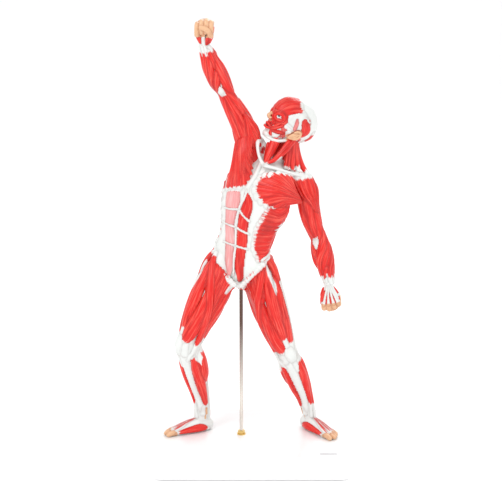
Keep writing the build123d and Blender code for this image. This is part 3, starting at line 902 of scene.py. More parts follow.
# Right chest muscle, drawn up towards the raised arm.
right_origin = [at_front(3.0, 328, 0.9, 3, 1.6), at_front(2.2, 315, 0.9, 3, 1.6),
                at_front(-2.4, 301, 0.9, 3, 1.6),
                at_front(-10.0, 290.0, 0.9, 3, 1.6), at_front(-21.0, 287.5, 0.9, 3, 1.6),
                at_front(-34.5, 289.0, 0.9, 3, 1.6)]
right_middle = [(-2.0, -17.0, 334.0, 0.3, -1, 0, 3, 4), (-7.0, -20.0, 326.0, 0.1, -1, 0, 3, 4),
                (-13.0, -20.5, 318.0, -0.2, -1, 0, 3, 4), (-21.0, -17.0, 312.0, -0.5, -1, 0, 3, 4)]
right_root = [(-1.0, -11.0, 346.0, 0.3, -1, 0, 3, 4), (-6.0, -13.0, 346.0, 0, -1, 0, 3, 4),
              (-11.0, -13.0, 343.0, -0.4, -1, 0, 3, 4), (-15.5, -9.0, 340.0, -0.8, -0.8, 0, 3, 4)]
trunk.lay(sheet([right_origin, right_middle, right_root], 11, red=(0.05, 1.0), width=0.68), soft=0.8,
          within=1.2)

# Collar bones, breastbone and the crests of the hip bones: pale bone just under the skin.
collar_left = [(12.5, -20.5, 316.0, -0.2, -1, 0.2, 2.2, 1.8), (26.0, -21.5, 312.8, 0, -1, 0.3, 1.7, 1.7),
               (41.0, -17.5, 307.6, 0.2, -1, 0.4, 1.7, 1.7),
               (52.0, -11.5, 304.0, 0.4, -0.8, 0.6, 2.2, 1.8), (62.0, -4.0, 301.0, 0.5, -0.5, 0.7, 2.8, 1.6)]
collar_right = [(12.5, -20.5, 316.0, -0.2, -1, 0.2, 2.2, 1.8), (8.4, -18.5, 324.5, 0, -1, 0.2, 1.7, 1.7),
                (6.4, -16.5, 333.5, 0, -1, 0.2, 1.8, 1.7), (6.8, -11.0, 341.0, 0.2, -0.8, 0.3, 2.4, 1.8),
                (10.0, -2.0, 340.0, 0.6, -0.4, 0.4, 3.0, 2.0)]
breastbone = [at_front(12.5, 315, 2.4, 2.6, 1.8), at_front(5, 303, 2.2, 2.2, 1.6),
              at_front(-2.5, 291, 2.0, 2.4, 1.6), at_front(-4.5, 287, 1.4, 3.0, 1.2)]
for bone in (collar_left, collar_right, breastbone):
    trunk.lay(Strap(bone, red=no_red), soft=0.6)
for side in (1, -1):
    start = at_front(9.5, 204, 1.6, 1.5, 1.4) if side > 0 else on_trunk(206, -62, 1.6, 1.5, 1.4)
    crest = [start, on_trunk(213, side * 66, 2.4, 1.6, 1.6), on_trunk(221, side * 86, 2.6, 1.7, 1.6),
             on_trunk(224, side * 114, 2.2, 1.8, 1.6), on_trunk(218, side * 148, 1.2, 2.0, 1.4)]
    trunk.lay(Strap(crest, red=no_red), soft=0.8)

# Neck, from the middle line round to the back: throat, the long strap from behind the ear to the
# notch, the deep muscles between it and the hood muscle's edge.
neck = [
    ([(25.5, -10.0, 341.0, -0.3, -1, 0, 5.6, 4.4), (20.5, -14.0, 330.0, -0.2, -1, 0, 4.4, 3.6),
      (15.0, -17.5, 319.0, -0.2, -1, 0, 2.2, 2.2)], (0.0, 1.0), 0.1),
    ([(18.0, -7.0, 338.0, -0.8, -0.6, 0, 2.0, 2.0), (15.6, -12.0, 328.0, -0.6, -0.8, 0, 1.8, 1.8),
      (13.2, -16.5, 319.0, -0.4, -0.9, 0, 1.2, 1.2)], (0.0, 0.9), -0.5),
    ([(41.0, -9.0, 338.0, 0, -1, 0.1, 3.6, 3.4), (39.5, -11.5, 326.0, 0.1, -1, 0.1, 3.6, 3.2),
      (38.0, -13.5, 313.0, 0.1, -1, 0.2, 3.4, 2.6)], (0.0, 0.98), -0.7),
    ([(45.0, -6.0, 338.0, 0.4, -1, 0.1, 3.2, 3.2), (44.5, -9.0, 325.0, 0.4, -1, 0.1, 3.2, 3),
      (44.5, -11.5, 311.0, 0.3, -1, 0.2, 2.8, 2.4)], (0.0, 0.94), -0.3),
    ([(48.0, -2.0, 339.0, 0.7, -0.8, 0.1, 3.2, 3.2), (48.5, -5.0, 325.0, 0.6, -0.8, 0.1, 3.2, 3),
      (51.0, -8.0, 309.0, 0.4, -0.8, 0.3, 2.8, 2.4)], (0.0, 0.84), 0.1),
    ([(48.5, 3.0, 341.0, 0.9, -0.3, 0, 3.6, 3.4), (50.5, 1.0, 327.0, 0.9, -0.4, 0.2, 3.6, 3.4),
      (55.5, -1.5, 313.0, 0.7, -0.5, 0.5, 3.4, 3), (62.0, -2.5, 304.0, 0.5, -0.4, 0.8, 2.6, 2.4)],
     (0.0, 0.88), -0.1),
    ([(46.0, -9.5, 345.0, 0.4, -1, 0, 4.6, 3.4), (37.0, -14.6, 333.5, 0.1, -1, 0.1, 4.4, 3.2),
      (26.0, -17.6, 322.5, -0.1, -1, 0.1, 2.8, 2.4), (15.6, -19.5, 317.5, -0.1, -1, 0.1, 1.4, 1.4)],
     (0.04, 0.97), 0.0),
]
hollow = [(24.0, -4.0, 316.0, -0.3, -1, 0, 7.0, 7.0), (15.0, -3.0, 327.0, -0.3, -1, 0, 6.4, 5.0),
          (9.0, 0.0, 338.0, -0.3, -1, 0, 6.0, 4.0),
          (2.0, 4.0, 346.0, -0.3, -1, 0, 6.0, 4.0)]
trunk.lay(Strap(hollow, red=no_red), soft=1.5)
for rows, reds, darkness in neck:
    trunk.lay(Strap(rows, red=reds, tone=darkness), soft=0.6)
trunk.brush([(44.0, -10.0, 336.0, 0.3, -1, 0), (43.0, -12.0, 322.0, 0.3, -1, 0),
             (44.0, -12.0, 315.0, 0.3, -1, 0)], (8.0, 7.0, 5.0), "red", 14.0)
trunk.brush([(36.0, -9.0, 345.0, 0.1, -1, 0), (33.0, -9.0, 336.0, 0.1, -1, 0),
             (26.0, -11.0, 325.0, 0, -1, 0)], (8.0, 7.0, 3.0), "red", 14.0)
trunk.brush([(27.5, -18.0, 316.5, 0, -1, 0.2), (32.0, -16.0, 320.0, 0, -1, 0.2)], (2.4, 3.6), "white", 9.0)
trunk.brush([(12.6, -8.0, 333.0, -0.2, -1, 0.2), (11.6, -8.0, 329.0, -0.2, -1, 0.2)], (2.0, 2.2), "dark red",
            9.0)

# Pubic bone under its white covering, where the groin's bands meet.
trunk.lay(Strap([(-21.0, -8.0, 181.0, 0, -1, 0, 3.0, 4.0), (-14.0, -9.5, 179.0, 0, -1, 0, 3.2, 4.4),
                 (-7.0, -8.5, 181.0, 0, -1, 0, 3.0, 4.0)],
                red=no_red), soft=1.5)

# Red under the upper back's muscles, so that no white shows between them beside the spine.
for side in (1, -1):
    back_strip = [on_trunk(326, side * 140), on_trunk(312, side * 146), on_trunk(296, side * 150),
                  on_trunk(280, side * 158), on_trunk(268, side * 165)]
    trunk.brush(back_strip, (8.0, 12.0, 13.0, 9.0, 4.0), "red", 16.0)
    trunk.brush([on_trunk(308, side * 112), on_trunk(296, side * 118)], (12.0, 12.0), "red", 16.0)
trunk.brush([(44.0, 12.0, 338.0, 0, 1, 0), (33.0, 15.0, 322.0, 0, 1, 0.3)], (8.0, 11.0), "red", 12.0)

# Red in the armpits, behind the ribs' muscles and where the left flank's strands part.
for side in (1, -1):
    trunk.brush([on_trunk(290, side * 116), on_trunk(276, side * 120), on_trunk(262, side * 124)],
                (10.0, 9.0, 6.0), "red", 14.0)
trunk.brush([on_trunk(326, -112), on_trunk(310, -104), on_trunk(297, -98)], (7.0, 9.0, 10.0), "red", 14.0)
trunk.brush([at_front(16.0, 253), at_front(16.0, 243)], 4.2, "red")

# Bands of white over the red: sheaths, crests and the groin.
trunk.brush([at_front(-37, 287), at_front(-21, 286.5), at_front(-6, 287)], (2.6, 1.4, 2.0))
trunk.brush([at_front(-32.5, 284), at_front(-32, 268), at_front(-31.5, 250), at_front(-33, 230),
             at_front(-34, 214)], 3.0)
trunk.brush([at_front(7.0, 264), at_front(2.6, 246), at_front(0.6, 230), at_front(1.6, 212)],
            (2.6, 2.4, 2.2, 3.4))
trunk.brush([at_front(-42, 213), at_front(-34, 200), at_front(-25, 187)], (2.4, 2.6, 1.6))
trunk.brush([at_front(9, 203), at_front(0, 194), at_front(-8, 186)], (2.4, 2.6, 1.4))
cast("trunk", trunk, 0.9)

# ------------------------------------------------------------------ legs
# Hollow mouldings plugged into the hips: thigh, knee and lower leg in one, with the seat muscles on
# them. Both legs carry the same muscles, laid by place along the limb and angle round it.


class Limb:
    """Core of a limb: rows of place along it, middle (3), half width, half depth and turn.

    Turn is where its front faces, in degrees from -Y towards +X. Angles round it start at its front
    and grow towards its outer side.
    """

    def __init__(self, rows, side):
        rows = np.array(rows, float)
        fine = smooth_rows(np.column_stack([rows[:, 1:], rows[:, 0]]), 2.0)
        self.marks = fine[:, 6]
        self.fine = fine
        self.side = side

    def section(self, s):
        x, y, z, w, d, turn = [np.interp(s, self.marks, self.fine[:, n]) for n in range(6)]
        ahead = np.array([np.interp(s + 0.06, self.marks, self.fine[:, n]) for n in range(3)])
        behind = np.array([np.interp(s - 0.06, self.marks, self.fine[:, n]) for n in range(3)])
        up = unit(behind - ahead)
        faced = np.array([math.sin(math.radians(turn)), -math.cos(math.radians(turn)), 0.0])
        across = self.side * unit(np.cross(up, faced))
        front = self.side * np.cross(across, up)
        return np.array([x, y, z]), across, front, w, d

    def on(self, s, degrees, lift=0.0, w=2.0, h=1.5):
        """Row on the core, raised so that the strap's face stands lift above it."""
        middle, across, front, half_w, half_d = self.section(s)
        turn = math.radians(degrees)
        surface = middle + across * half_w * math.sin(turn) + front * half_d * math.cos(turn)
        outward = unit(across * math.sin(turn) / half_w + front * math.cos(turn) / half_d)
        return (*(surface + outward * (lift - h)), *outward, w, h)

    def run(self, *stops):
        """Rows at several stops: place along, angle, lift, half width and half thickness."""
        return [self.on(*stop) for stop in stops]

    def core(self, marks, red=no_red):
        rows = []
        for s in marks:
            middle, _, front, w, d = self.section(s)
            rows.append((*middle, *front, w, d))
        return Strap(rows, red=red, step=3.0)


right_leg_core = Limb(
    [
        (-0.40, -27.0, 6.0, 213.0, 11.0, 11.0, -24.0),
        (-0.15, -32.0, 5.0, 204.0, 14.0, 13.5, -28.0),
        (0.10, -37.5, 2.0, 190.0, 15.5, 15.5, -34.0),
        (0.35, -45.5, -3.0, 169.0, 16.5, 16.5, -42.0),
        (0.60, -56.5, -8.0, 147.5, 14.5, 15.0, -50.0),
        (0.80, -64.5, -11.5, 130.5, 11.8, 12.8, -56.0),
        (0.95, -70.0, -13.5, 116.5, 10.4, 11.5, -60.0),
        (1.05, -71.5, -13.0, 107.0, 10.6, 11.5, -63.0),
        (1.25, -68.3, -8.0, 88.5, 10.8, 11.0, -68.0),
        (1.45, -64.4, -3.0, 70.0, 10.0, 10.2, -70.0),
        (1.70, -60.6, 2.0, 49.0, 7.6, 8.0, -70.0),
        (1.90, -58.6, 5.0, 32.0, 6.4, 6.8, -68.0),
        (2.05, -58.5, 6.0, 18.0, 6.0, 7.0, -68.0),
        (2.12, -58.5, 6.0, 12.0, 5.5, 6.5, -68.0),
    ],
    -1,
)
left_leg_core = Limb(
    [
        (-0.40, 4.0, 6.0, 211.0, 10.0, 11.0, 0.0),
        (-0.15, 7.0, 5.0, 203.0, 12.5, 13.0, 4.0),
        (0.10, 10.5, 3.0, 188.0, 15.0, 16.0, 6.0),
        (0.35, 15.5, 2.0, 162.5, 16.0, 16.5, 9.0),
        (0.60, 25.0, 2.0, 136.0, 13.8, 14.5, 13.0),
        (0.80, 32.5, 2.5, 117.0, 11.2, 12.6, 16.0),
        (0.95, 38.5, 3.5, 101.0, 10.2, 11.5, 19.0),
        (1.05, 42.0, 4.0, 92.0, 10.6, 11.5, 21.0),
        (1.25, 49.0, 6.0, 76.5, 10.6, 11.0, 26.0),
        (1.45, 55.0, 8.0, 60.5, 9.6, 10.0, 30.0),
        (1.70, 61.5, 10.0, 43.5, 7.4, 8.0, 34.0),
        (1.90, 66.0, 11.0, 29.0, 6.4, 6.8, 37.0),
        (2.05, 68.0, 11.2, 17.0, 6.0, 7.0, 38.0),
        (2.12, 68.3, 11.3, 12.0, 5.5, 6.5, 38.0),
    ],
    1,
)
leg_marks = (-0.40, -0.15, 0.10, 0.35, 0.60, 0.80, 0.95, 1.05, 1.25, 1.45, 1.70, 1.90, 2.05, 2.12)


def lay_leg(leg, side, groin):
    """All the muscles of one leg. Groin is its fold, from the hip's point to the pubic bone."""
    clay = Clay()
    clay.lay(leg.core(leg_marks), soft=0.0)
    on = leg.on

    def muscle(*stops, red=(0.0, 1.0), soft=0.7, tone=0.0, pale=0.0):
        clay.lay(Strap(leg.run(*stops), red=red, tone=tone, pale=pale), soft=soft)

    # Back of the thigh.
    muscle((0.0, 178, 4, 4, 4), (0.25, 165, 6, 6, 5), (0.5, 156, 6, 7, 5.5), (0.78, 142, 5, 5, 4.5),
           (1.0, 122, 3.5, 2.4, 2.4),
           (1.1, 104, 2.6, 1.8, 1.6), red=(0.05, 0.80))
    muscle((0.0, -176, 4, 4, 4), (0.25, -168, 6, 6, 5), (0.5, -164, 6, 6.5, 5.5), (0.78, -150, 4.5, 4.5, 4),
           (1.0, -128, 3.5, 2, 2.2),
           (1.12, -98, 2.4, 1.6, 1.4), red=(0.05, 0.76))
    muscle((0.2, -146, 4, 4, 4), (0.5, -140, 5, 5.5, 5), (0.8, -136, 4, 5, 4), (1.0, -126, 2.5, 2.5, 2.4),
           red=(0.05, 0.85))
    # Inner thigh, fanning out from the groin and the pubic bone.
    pubis = np.array(groin[-1])
    inner = unit([-side, -0.5, 0.0])
    gracile_root = (*(pubis + [side * 1.0, 5.0, -4.0]), *inner, 2.4, 2.6)
    clay.lay(Strap([gracile_root] + leg.run((0.25, -106, 5.4, 4.4, 3.4), (0.5, -106, 5.0, 4.2, 3.4),
                                            (0.8, -110, 4.4, 3.2, 2.8),
                                            (1.0, -112, 3.4, 1.8, 1.8), (1.12, -80, 2.6, 1.5, 1.3)),
                   red=(0.0, 0.78)), soft=0.7)
    muscle((0.05, -128, 3, 5, 4), (0.3, -124, 4.6, 5.5, 4), (0.55, -122, 4.2, 5, 4), red=(0.0, 1.0))
    fold = [(*spot, *unit([0.25 * side, -1.0, -0.2]), 3, 3.0) for spot in groin]
    fan = [on(0.02, 14, 3.6, 3, 3.4), on(0.06, -14, 4.4, 3, 3.6), on(0.12, -42, 4.8, 3, 3.8),
           on(0.18, -66, 5.0, 3, 3.8), on(0.24, -88, 5.0, 3, 3.6)]
    end = [on(0.24, 2, 3.6, 3, 3.2), on(0.34, -26, 4.0, 3, 3.4), on(0.44, -50, 4.0, 3, 3.4),
           on(0.54, -70, 4.0, 3, 3.2), on(0.66, -86, 3.8, 3, 3.0)]
    clay.lay(sheet([fold, fan, end], 9, red=(0.03, 1.0), width=0.70, tone=-0.05), soft=0.6, within=0.9)
    clay.brush(leg.run((0.02, 34), (0.30, 36), (0.60, 26)), 6.0, "red", 14.0)
    cord = [(*(pubis + [side * step, -1.5, -rise]), *unit([0.25 * side, -1.0, -0.2]), w, 1.6)
            for step, rise, w in ((-1.5, -1.0, 1.6), (4.0, 4.5, 2.0), (8.5, 9.5, 2.2))]
    clay.brush(cord, (1.6, 2.4, 1.4), "white", 7.0)
    # Front of the thigh.
    muscle((0.12, 66, 3.6, 5, 4), (0.30, 58, 5.8, 8, 5.5), (0.55, 50, 5.8, 8.5, 5.5), (0.78, 40, 4.8, 7, 4.6),
           (0.90, 30, 3.2, 4.4, 3.4),
           (0.98, 18, 2.0, 2.2, 2), red=(0.02, 0.86))
    muscle((0.30, -30, 3.5, 4, 3.5), (0.52, -40, 4.8, 6, 4.8), (0.72, -47, 6.0, 7.6, 5.6),
           (0.86, -46, 6.2, 7.8, 5.6),
           (0.93, -38, 4.0, 5.0, 4.2), (0.97, -24, 2.0, 2.2, 2), red=(0.0, 0.93))
    muscle((-0.12, 20, 3.6, 2.4, 2.4), (0.06, 20, 5.2, 4.0, 3.6), (0.25, 14, 6.8, 6.2, 5),
           (0.48, 8, 7.0, 7.0, 5.4), (0.70, 3, 5.8, 5.4, 4.4),
           (0.84, 0, 3.6, 3.6, 2.8), (0.96, 0, 2.6, 3.0, 2.0), red=(0.02, 0.84))
    # Tailor's muscle, from the hip's point across to the inner knee.
    muscle((-0.26, 36, 3.4, 2.6, 2.0), (-0.08, 16, 4.8, 3.4, 2.6), (0.12, -8, 6.2, 3.8, 2.8),
           (0.32, -32, 6.4, 4.0, 2.8),
           (0.52, -62, 6.2, 4.0, 2.8), (0.72, -86, 5.8, 4.0, 2.8), (0.90, -100, 4.6, 3.2, 2.4),
           (1.04, -92, 3.4, 2.0, 1.6),
           (1.14, -58, 2.6, 2.0, 1.2), red=(0.04, 0.84))
    # Outer hip and the long white tract down the outer thigh.
    muscle((-0.28, 60, 3.6, 3.2, 2.6), (-0.12, 58, 5.6, 5.4, 3.6), (0.06, 62, 6.6, 5.6, 3.6),
           (0.24, 70, 6.0, 3.4, 2.6), red=(0.12, 0.88))
    muscle((0.05, 76, 5.6, 5.4, 2.0), (0.30, 72, 6.9, 5.2, 2.0), (0.55, 70, 6.7, 4.6, 1.8),
           (0.80, 66, 5.0, 3.4, 1.6), (0.98, 54, 3.2, 3.0, 1.4),
           (1.10, 40, 2.4, 3.2, 1.2), red=no_red)
    # Seat.
    crest = [on_trunk(207, side * 70, 2.0, 3, 2.4), on_trunk(216, side * 92, 2.2, 3, 2.4),
             on_trunk(219, side * 118, 2.0, 3, 2.4)]
    belly = [on(-0.16, 70, 4.6, 3, 3.4), on(-0.18, 92, 5.6, 3, 3.6), on(-0.18, 118, 5.6, 3, 3.6)]
    hip_point = [on(0.0, 84, 4.0, 3, 3), on(0.0, 92, 4.4, 3, 3), on(0.0, 102, 4.6, 3, 3)]
    clay.lay(sheet([crest, belly, hip_point], 6, red=(0.10, 0.95), width=0.7), soft=0.8, within=1.2)
    sacrum = [on_trunk(216, side * 146, 1.6, 3, 2.6), on_trunk(209, side * 162, 1.6, 3, 2.8),
              on_trunk(199, side * 172, 2.0, 3, 3.0),
              on_trunk(188, side * 176, 2.6, 3, 3.4)]
    seat = [on(-0.16, 130, 8.0, 3, 5.0), on(-0.06, 144, 9.6, 3, 6.0), on(0.05, 156, 9.6, 3, 6.0),
            on(0.14, 166, 7.0, 3, 5.0)]
    outer = [on(0.02, 96, 5.4, 3, 3.0), on(0.14, 100, 6.0, 3, 3.0), on(0.26, 106, 6.0, 3, 3.0),
             on(0.38, 114, 5.4, 3, 2.6)]
    clay.lay(sheet([sacrum, seat, outer], 9, red=(0.08, 0.94), width=0.7), soft=0.8, within=1.5)

    # Knee: kneecap, its ligament and the fat either side of it.
    muscle((0.94, 0, 4.2, 5.4, 3.4), (1.0, 0, 5.2, 6.0, 3.6), (1.06, 0, 4.2, 4.6, 3.0), red=no_red, soft=2.2)
    muscle((1.06, 0, 3.6, 2.8, 2.0), (1.16, -2, 3.0, 2.6, 1.8), (1.24, -4, 2.0, 2.2, 1.4), red=no_red,
           soft=1.8)
    for angle in (-42, 42):
        muscle((0.98, angle, 2.2, 4.0, 3.0), (1.08, angle, 2.2, 4.0, 3.0), red=no_red, soft=2.5)
    # Lower leg: two-headed calf over the sole muscle, and the long tendon to the heel.
    muscle((0.96, -152, 2.0, 4, 3.5), (1.10, -146, 5.0, 6.5, 5.5), (1.24, -142, 7.0, 8.4, 6.4),
           (1.38, -142, 6.6, 7.6, 6), (1.48, -148, 4.0, 4.6, 3.6),
           (1.56, -158, 2.0, 2.2, 2), red=(0.20, 0.93))
    muscle((0.96, 152, 2.0, 4, 3.5), (1.10, 147, 5.0, 6.2, 5.5), (1.23, 144, 6.6, 7.8, 6.2),
           (1.36, 144, 5.8, 7.0, 5.6), (1.45, 150, 3.6, 4.2, 3.4),
           (1.53, 160, 2.0, 2.2, 2), red=(0.16, 0.93))
    muscle((1.10, -92, 2.4, 3.6, 3), (1.32, -96, 3.8, 5.6, 4.2), (1.52, -102, 4.2, 5.8, 4.2),
           (1.72, -112, 3.4, 4.4, 3.4), (1.92, -126, 2.8, 2.4, 2.4),
           red=(0.03, 0.93))
    muscle((1.14, 108, 2.6, 3.4, 3), (1.32, 110, 3.6, 5.0, 4.0), (1.52, 116, 3.8, 5.0, 4.0),
           (1.70, 132, 3.0, 3.6, 3.2), (1.84, 150, 2.2, 2, 2),
           red=(0.06, 0.94))
    muscle((1.46, 180, 3.4, 5.4, 2.4), (1.62, 180, 3.6, 4.0, 2.4), (1.80, 180, 3.8, 2.8, 2.2),
           (1.98, 180, 4.0, 2.8, 2.4), (2.10, 180, 3.6, 3.4, 2.6),
           red=no_red)
    muscle((1.10, 84, 2.4, 2.6, 2.4), (1.24, 82, 3.4, 3.8, 3.2), (1.45, 84, 3.6, 3.8, 3.2),
           (1.66, 96, 2.8, 2.8, 2.6), (1.86, 118, 2.2, 1.6, 1.6),
           (2.02, 118, 2.0, 1.4, 1.4), red=(0.06, 0.66))
    muscle((1.10, 54, 2.2, 2.6, 2.2), (1.26, 50, 3.4, 3.6, 3.2), (1.48, 46, 3.4, 3.6, 3.0),
           (1.70, 38, 2.6, 2.6, 2.4), (1.90, 22, 2.2, 2.0, 1.6),
           (2.06, 14, 2.2, 2.0, 1.5), red=(0.05, 0.79))
    muscle((1.12, 26, 2.4, 2.8, 2.4), (1.28, 20, 4.0, 4.6, 3.8), (1.46, 15, 4.0, 4.6, 3.6),
           (1.66, 7, 3.0, 3.2, 2.8), (1.86, -8, 2.4, 1.8, 1.8),
           (2.04, -26, 2.4, 1.7, 1.6), red=(0.03, 0.78))
    # Shin bone's flat inner face, under the skin, and the ankle bones.
    muscle((1.12, -34, 2.0, 5.4, 2.6), (1.28, -38, 1.8, 4.8, 2.4), (1.50, -40, 1.6, 4.0, 2.2),
           (1.74, -50, 1.5, 3.2, 2.0), (1.94, -76, 2.0, 3.2, 2.4),
           red=no_red, soft=1.0)
    muscle((1.90, -84, 2.2, 3.0, 2.4), (1.99, -86, 2.8, 3.2, 2.6), red=no_red, soft=1.5)
    muscle((1.88, 84, 2.0, 2.6, 2.2), (2.01, 88, 2.8, 3.0, 2.6), red=no_red, soft=1.5)
    muscle((1.66, -92, 2.0, 2.0, 1.8), (1.84, -112, 2.2, 1.6, 1.6), (2.0, -122, 2.2, 1.3, 1.3),
           red=(0.0, 0.45))
    # White fascia: a slender leaf down the outer hip, the inner calf, and the knee and ankle.
    low, front, wide = (0.0, 18.0, 1.3) if side > 0 else (0.14, 0.0, 1.0)
    leaf = leg.run((low - 0.18, 42 - front), (low - 0.04, 45 - front), (low + 0.10, 48 - front),
                   (low + 0.22, 50 - front), (low + 0.32, 50 - front))
    clay.brush(leaf, (0.8 * wide, 1.8 * wide, 3.2 * wide, 3.0 * wide, 1.0), "white", 9.0)
    clay.brush(fold, 2.0, "white", 5.0)
    clay.brush(leg.run((1.02, -98), (1.12, -112), (1.24, -126)), (4.6, 4.4, 2.2))
    clay.brush(leg.run((1.92, -112), (2.06, -114)), 1.6, "skin")
    clay.brush(leg.run((0.99, -150), (0.99, -100), (0.99, 100), (0.99, 150)), 3.0)
    clay.brush(leg.run((1.96, -60), (1.96, 0), (1.96, 60)), 3.4)
    return clay


right_leg = lay_leg(right_leg_core, -1, [(-42.0, 3.0, 209.0), (-36.0, -6.5, 199.0), (-28.5, -11.5, 190.0),
                                         (-20.0, -13.5, 181.0)])
left_leg = lay_leg(left_leg_core, 1, [(12.0, -17.5, 205.0), (2.5, -18.0, 195.0), (-5.0, -16.5, 187.0),
                                      (-11.5, -14.0, 180.0)])
for leg_clay in (right_leg, left_leg):
    leg_clay.floor = 13.0
cast("right_leg", right_leg, 0.9)
cast("left_leg", left_leg, 0.9)

# ------------------------------------------------------------------ arms
# Hollow mouldings plugged into the shoulders, each with its half of the shoulder muscle on it. The
# right arm is thrown up and back, the left one hangs with the back of the hand to the front.
right_arm_core = Limb(
    [
        (-0.35, 8.0, 2.0, 306.0, 9.5, 10.0, -20.0),
        (-0.10, -2.0, 1.0, 328.0, 10.5, 11.0, -20.0),
        (0.15, -6.5, -2.0, 347.0, 10.6, 11.0, -20.0),
        (0.40, -12.5, -5.5, 365.0, 9.2, 9.6, -20.0),
        (0.70, -22.0, -9.0, 382.5, 7.4, 8.0, -20.0),
        (0.92, -29.0, -11.0, 395.0, 6.2, 7.0, -16.0),
        (1.05, -32.5, -11.5, 402.0, 7.0, 7.2, -10.0),
        (1.20, -36.8, -12.0, 410.0, 8.2, 7.6, -5.0),
        (1.38, -40.8, -13.0, 419.0, 8.2, 7.6, 0.0),
        (1.65, -46.0, -15.0, 431.5, 6.4, 6.2, 0.0),
        (1.90, -50.2, -16.6, 441.5, 4.8, 4.8, 0.0),
        (2.02, -50.8, -17.2, 446.0, 4.6, 4.4, 0.0),
    ],
    -1,
)
left_arm_core = Limb(
    [
        (-0.35, 45.0, 2.0, 300.0, 9.0, 10.0, -15.0),
        (-0.08, 56.0, 2.5, 292.0, 10.0, 10.6, -20.0),
        (0.20, 61.0, 3.5, 278.0, 9.6, 10.0, -22.0),
        (0.45, 65.0, 5.0, 262.5, 8.4, 9.0, -22.0),
        (0.70, 69.5, 6.2, 246.0, 7.8, 8.2, -22.0),
        (0.92, 75.0, 6.5, 230.5, 6.6, 7.2, -18.0),
        (1.05, 77.2, 6.0, 222.5, 7.4, 7.4, -12.0),
        (1.20, 79.3, 4.6, 214.5, 8.4, 7.8, -6.0),
        (1.40, 82.0, 2.0, 205.0, 8.4, 7.8, 0.0),
        (1.66, 85.0, -2.0, 193.0, 6.4, 6.2, 4.0),
        (1.90, 86.8, -5.2, 182.5, 5.0, 4.8, 6.0),
        (2.02, 87.2, -6.4, 178.0, 4.8, 4.2, 6.0),
    ],
    1,
)
arm_marks = (-0.35, -0.10, 0.15, 0.40, 0.70, 0.92, 1.05, 1.20, 1.38, 1.65, 1.90, 2.02)


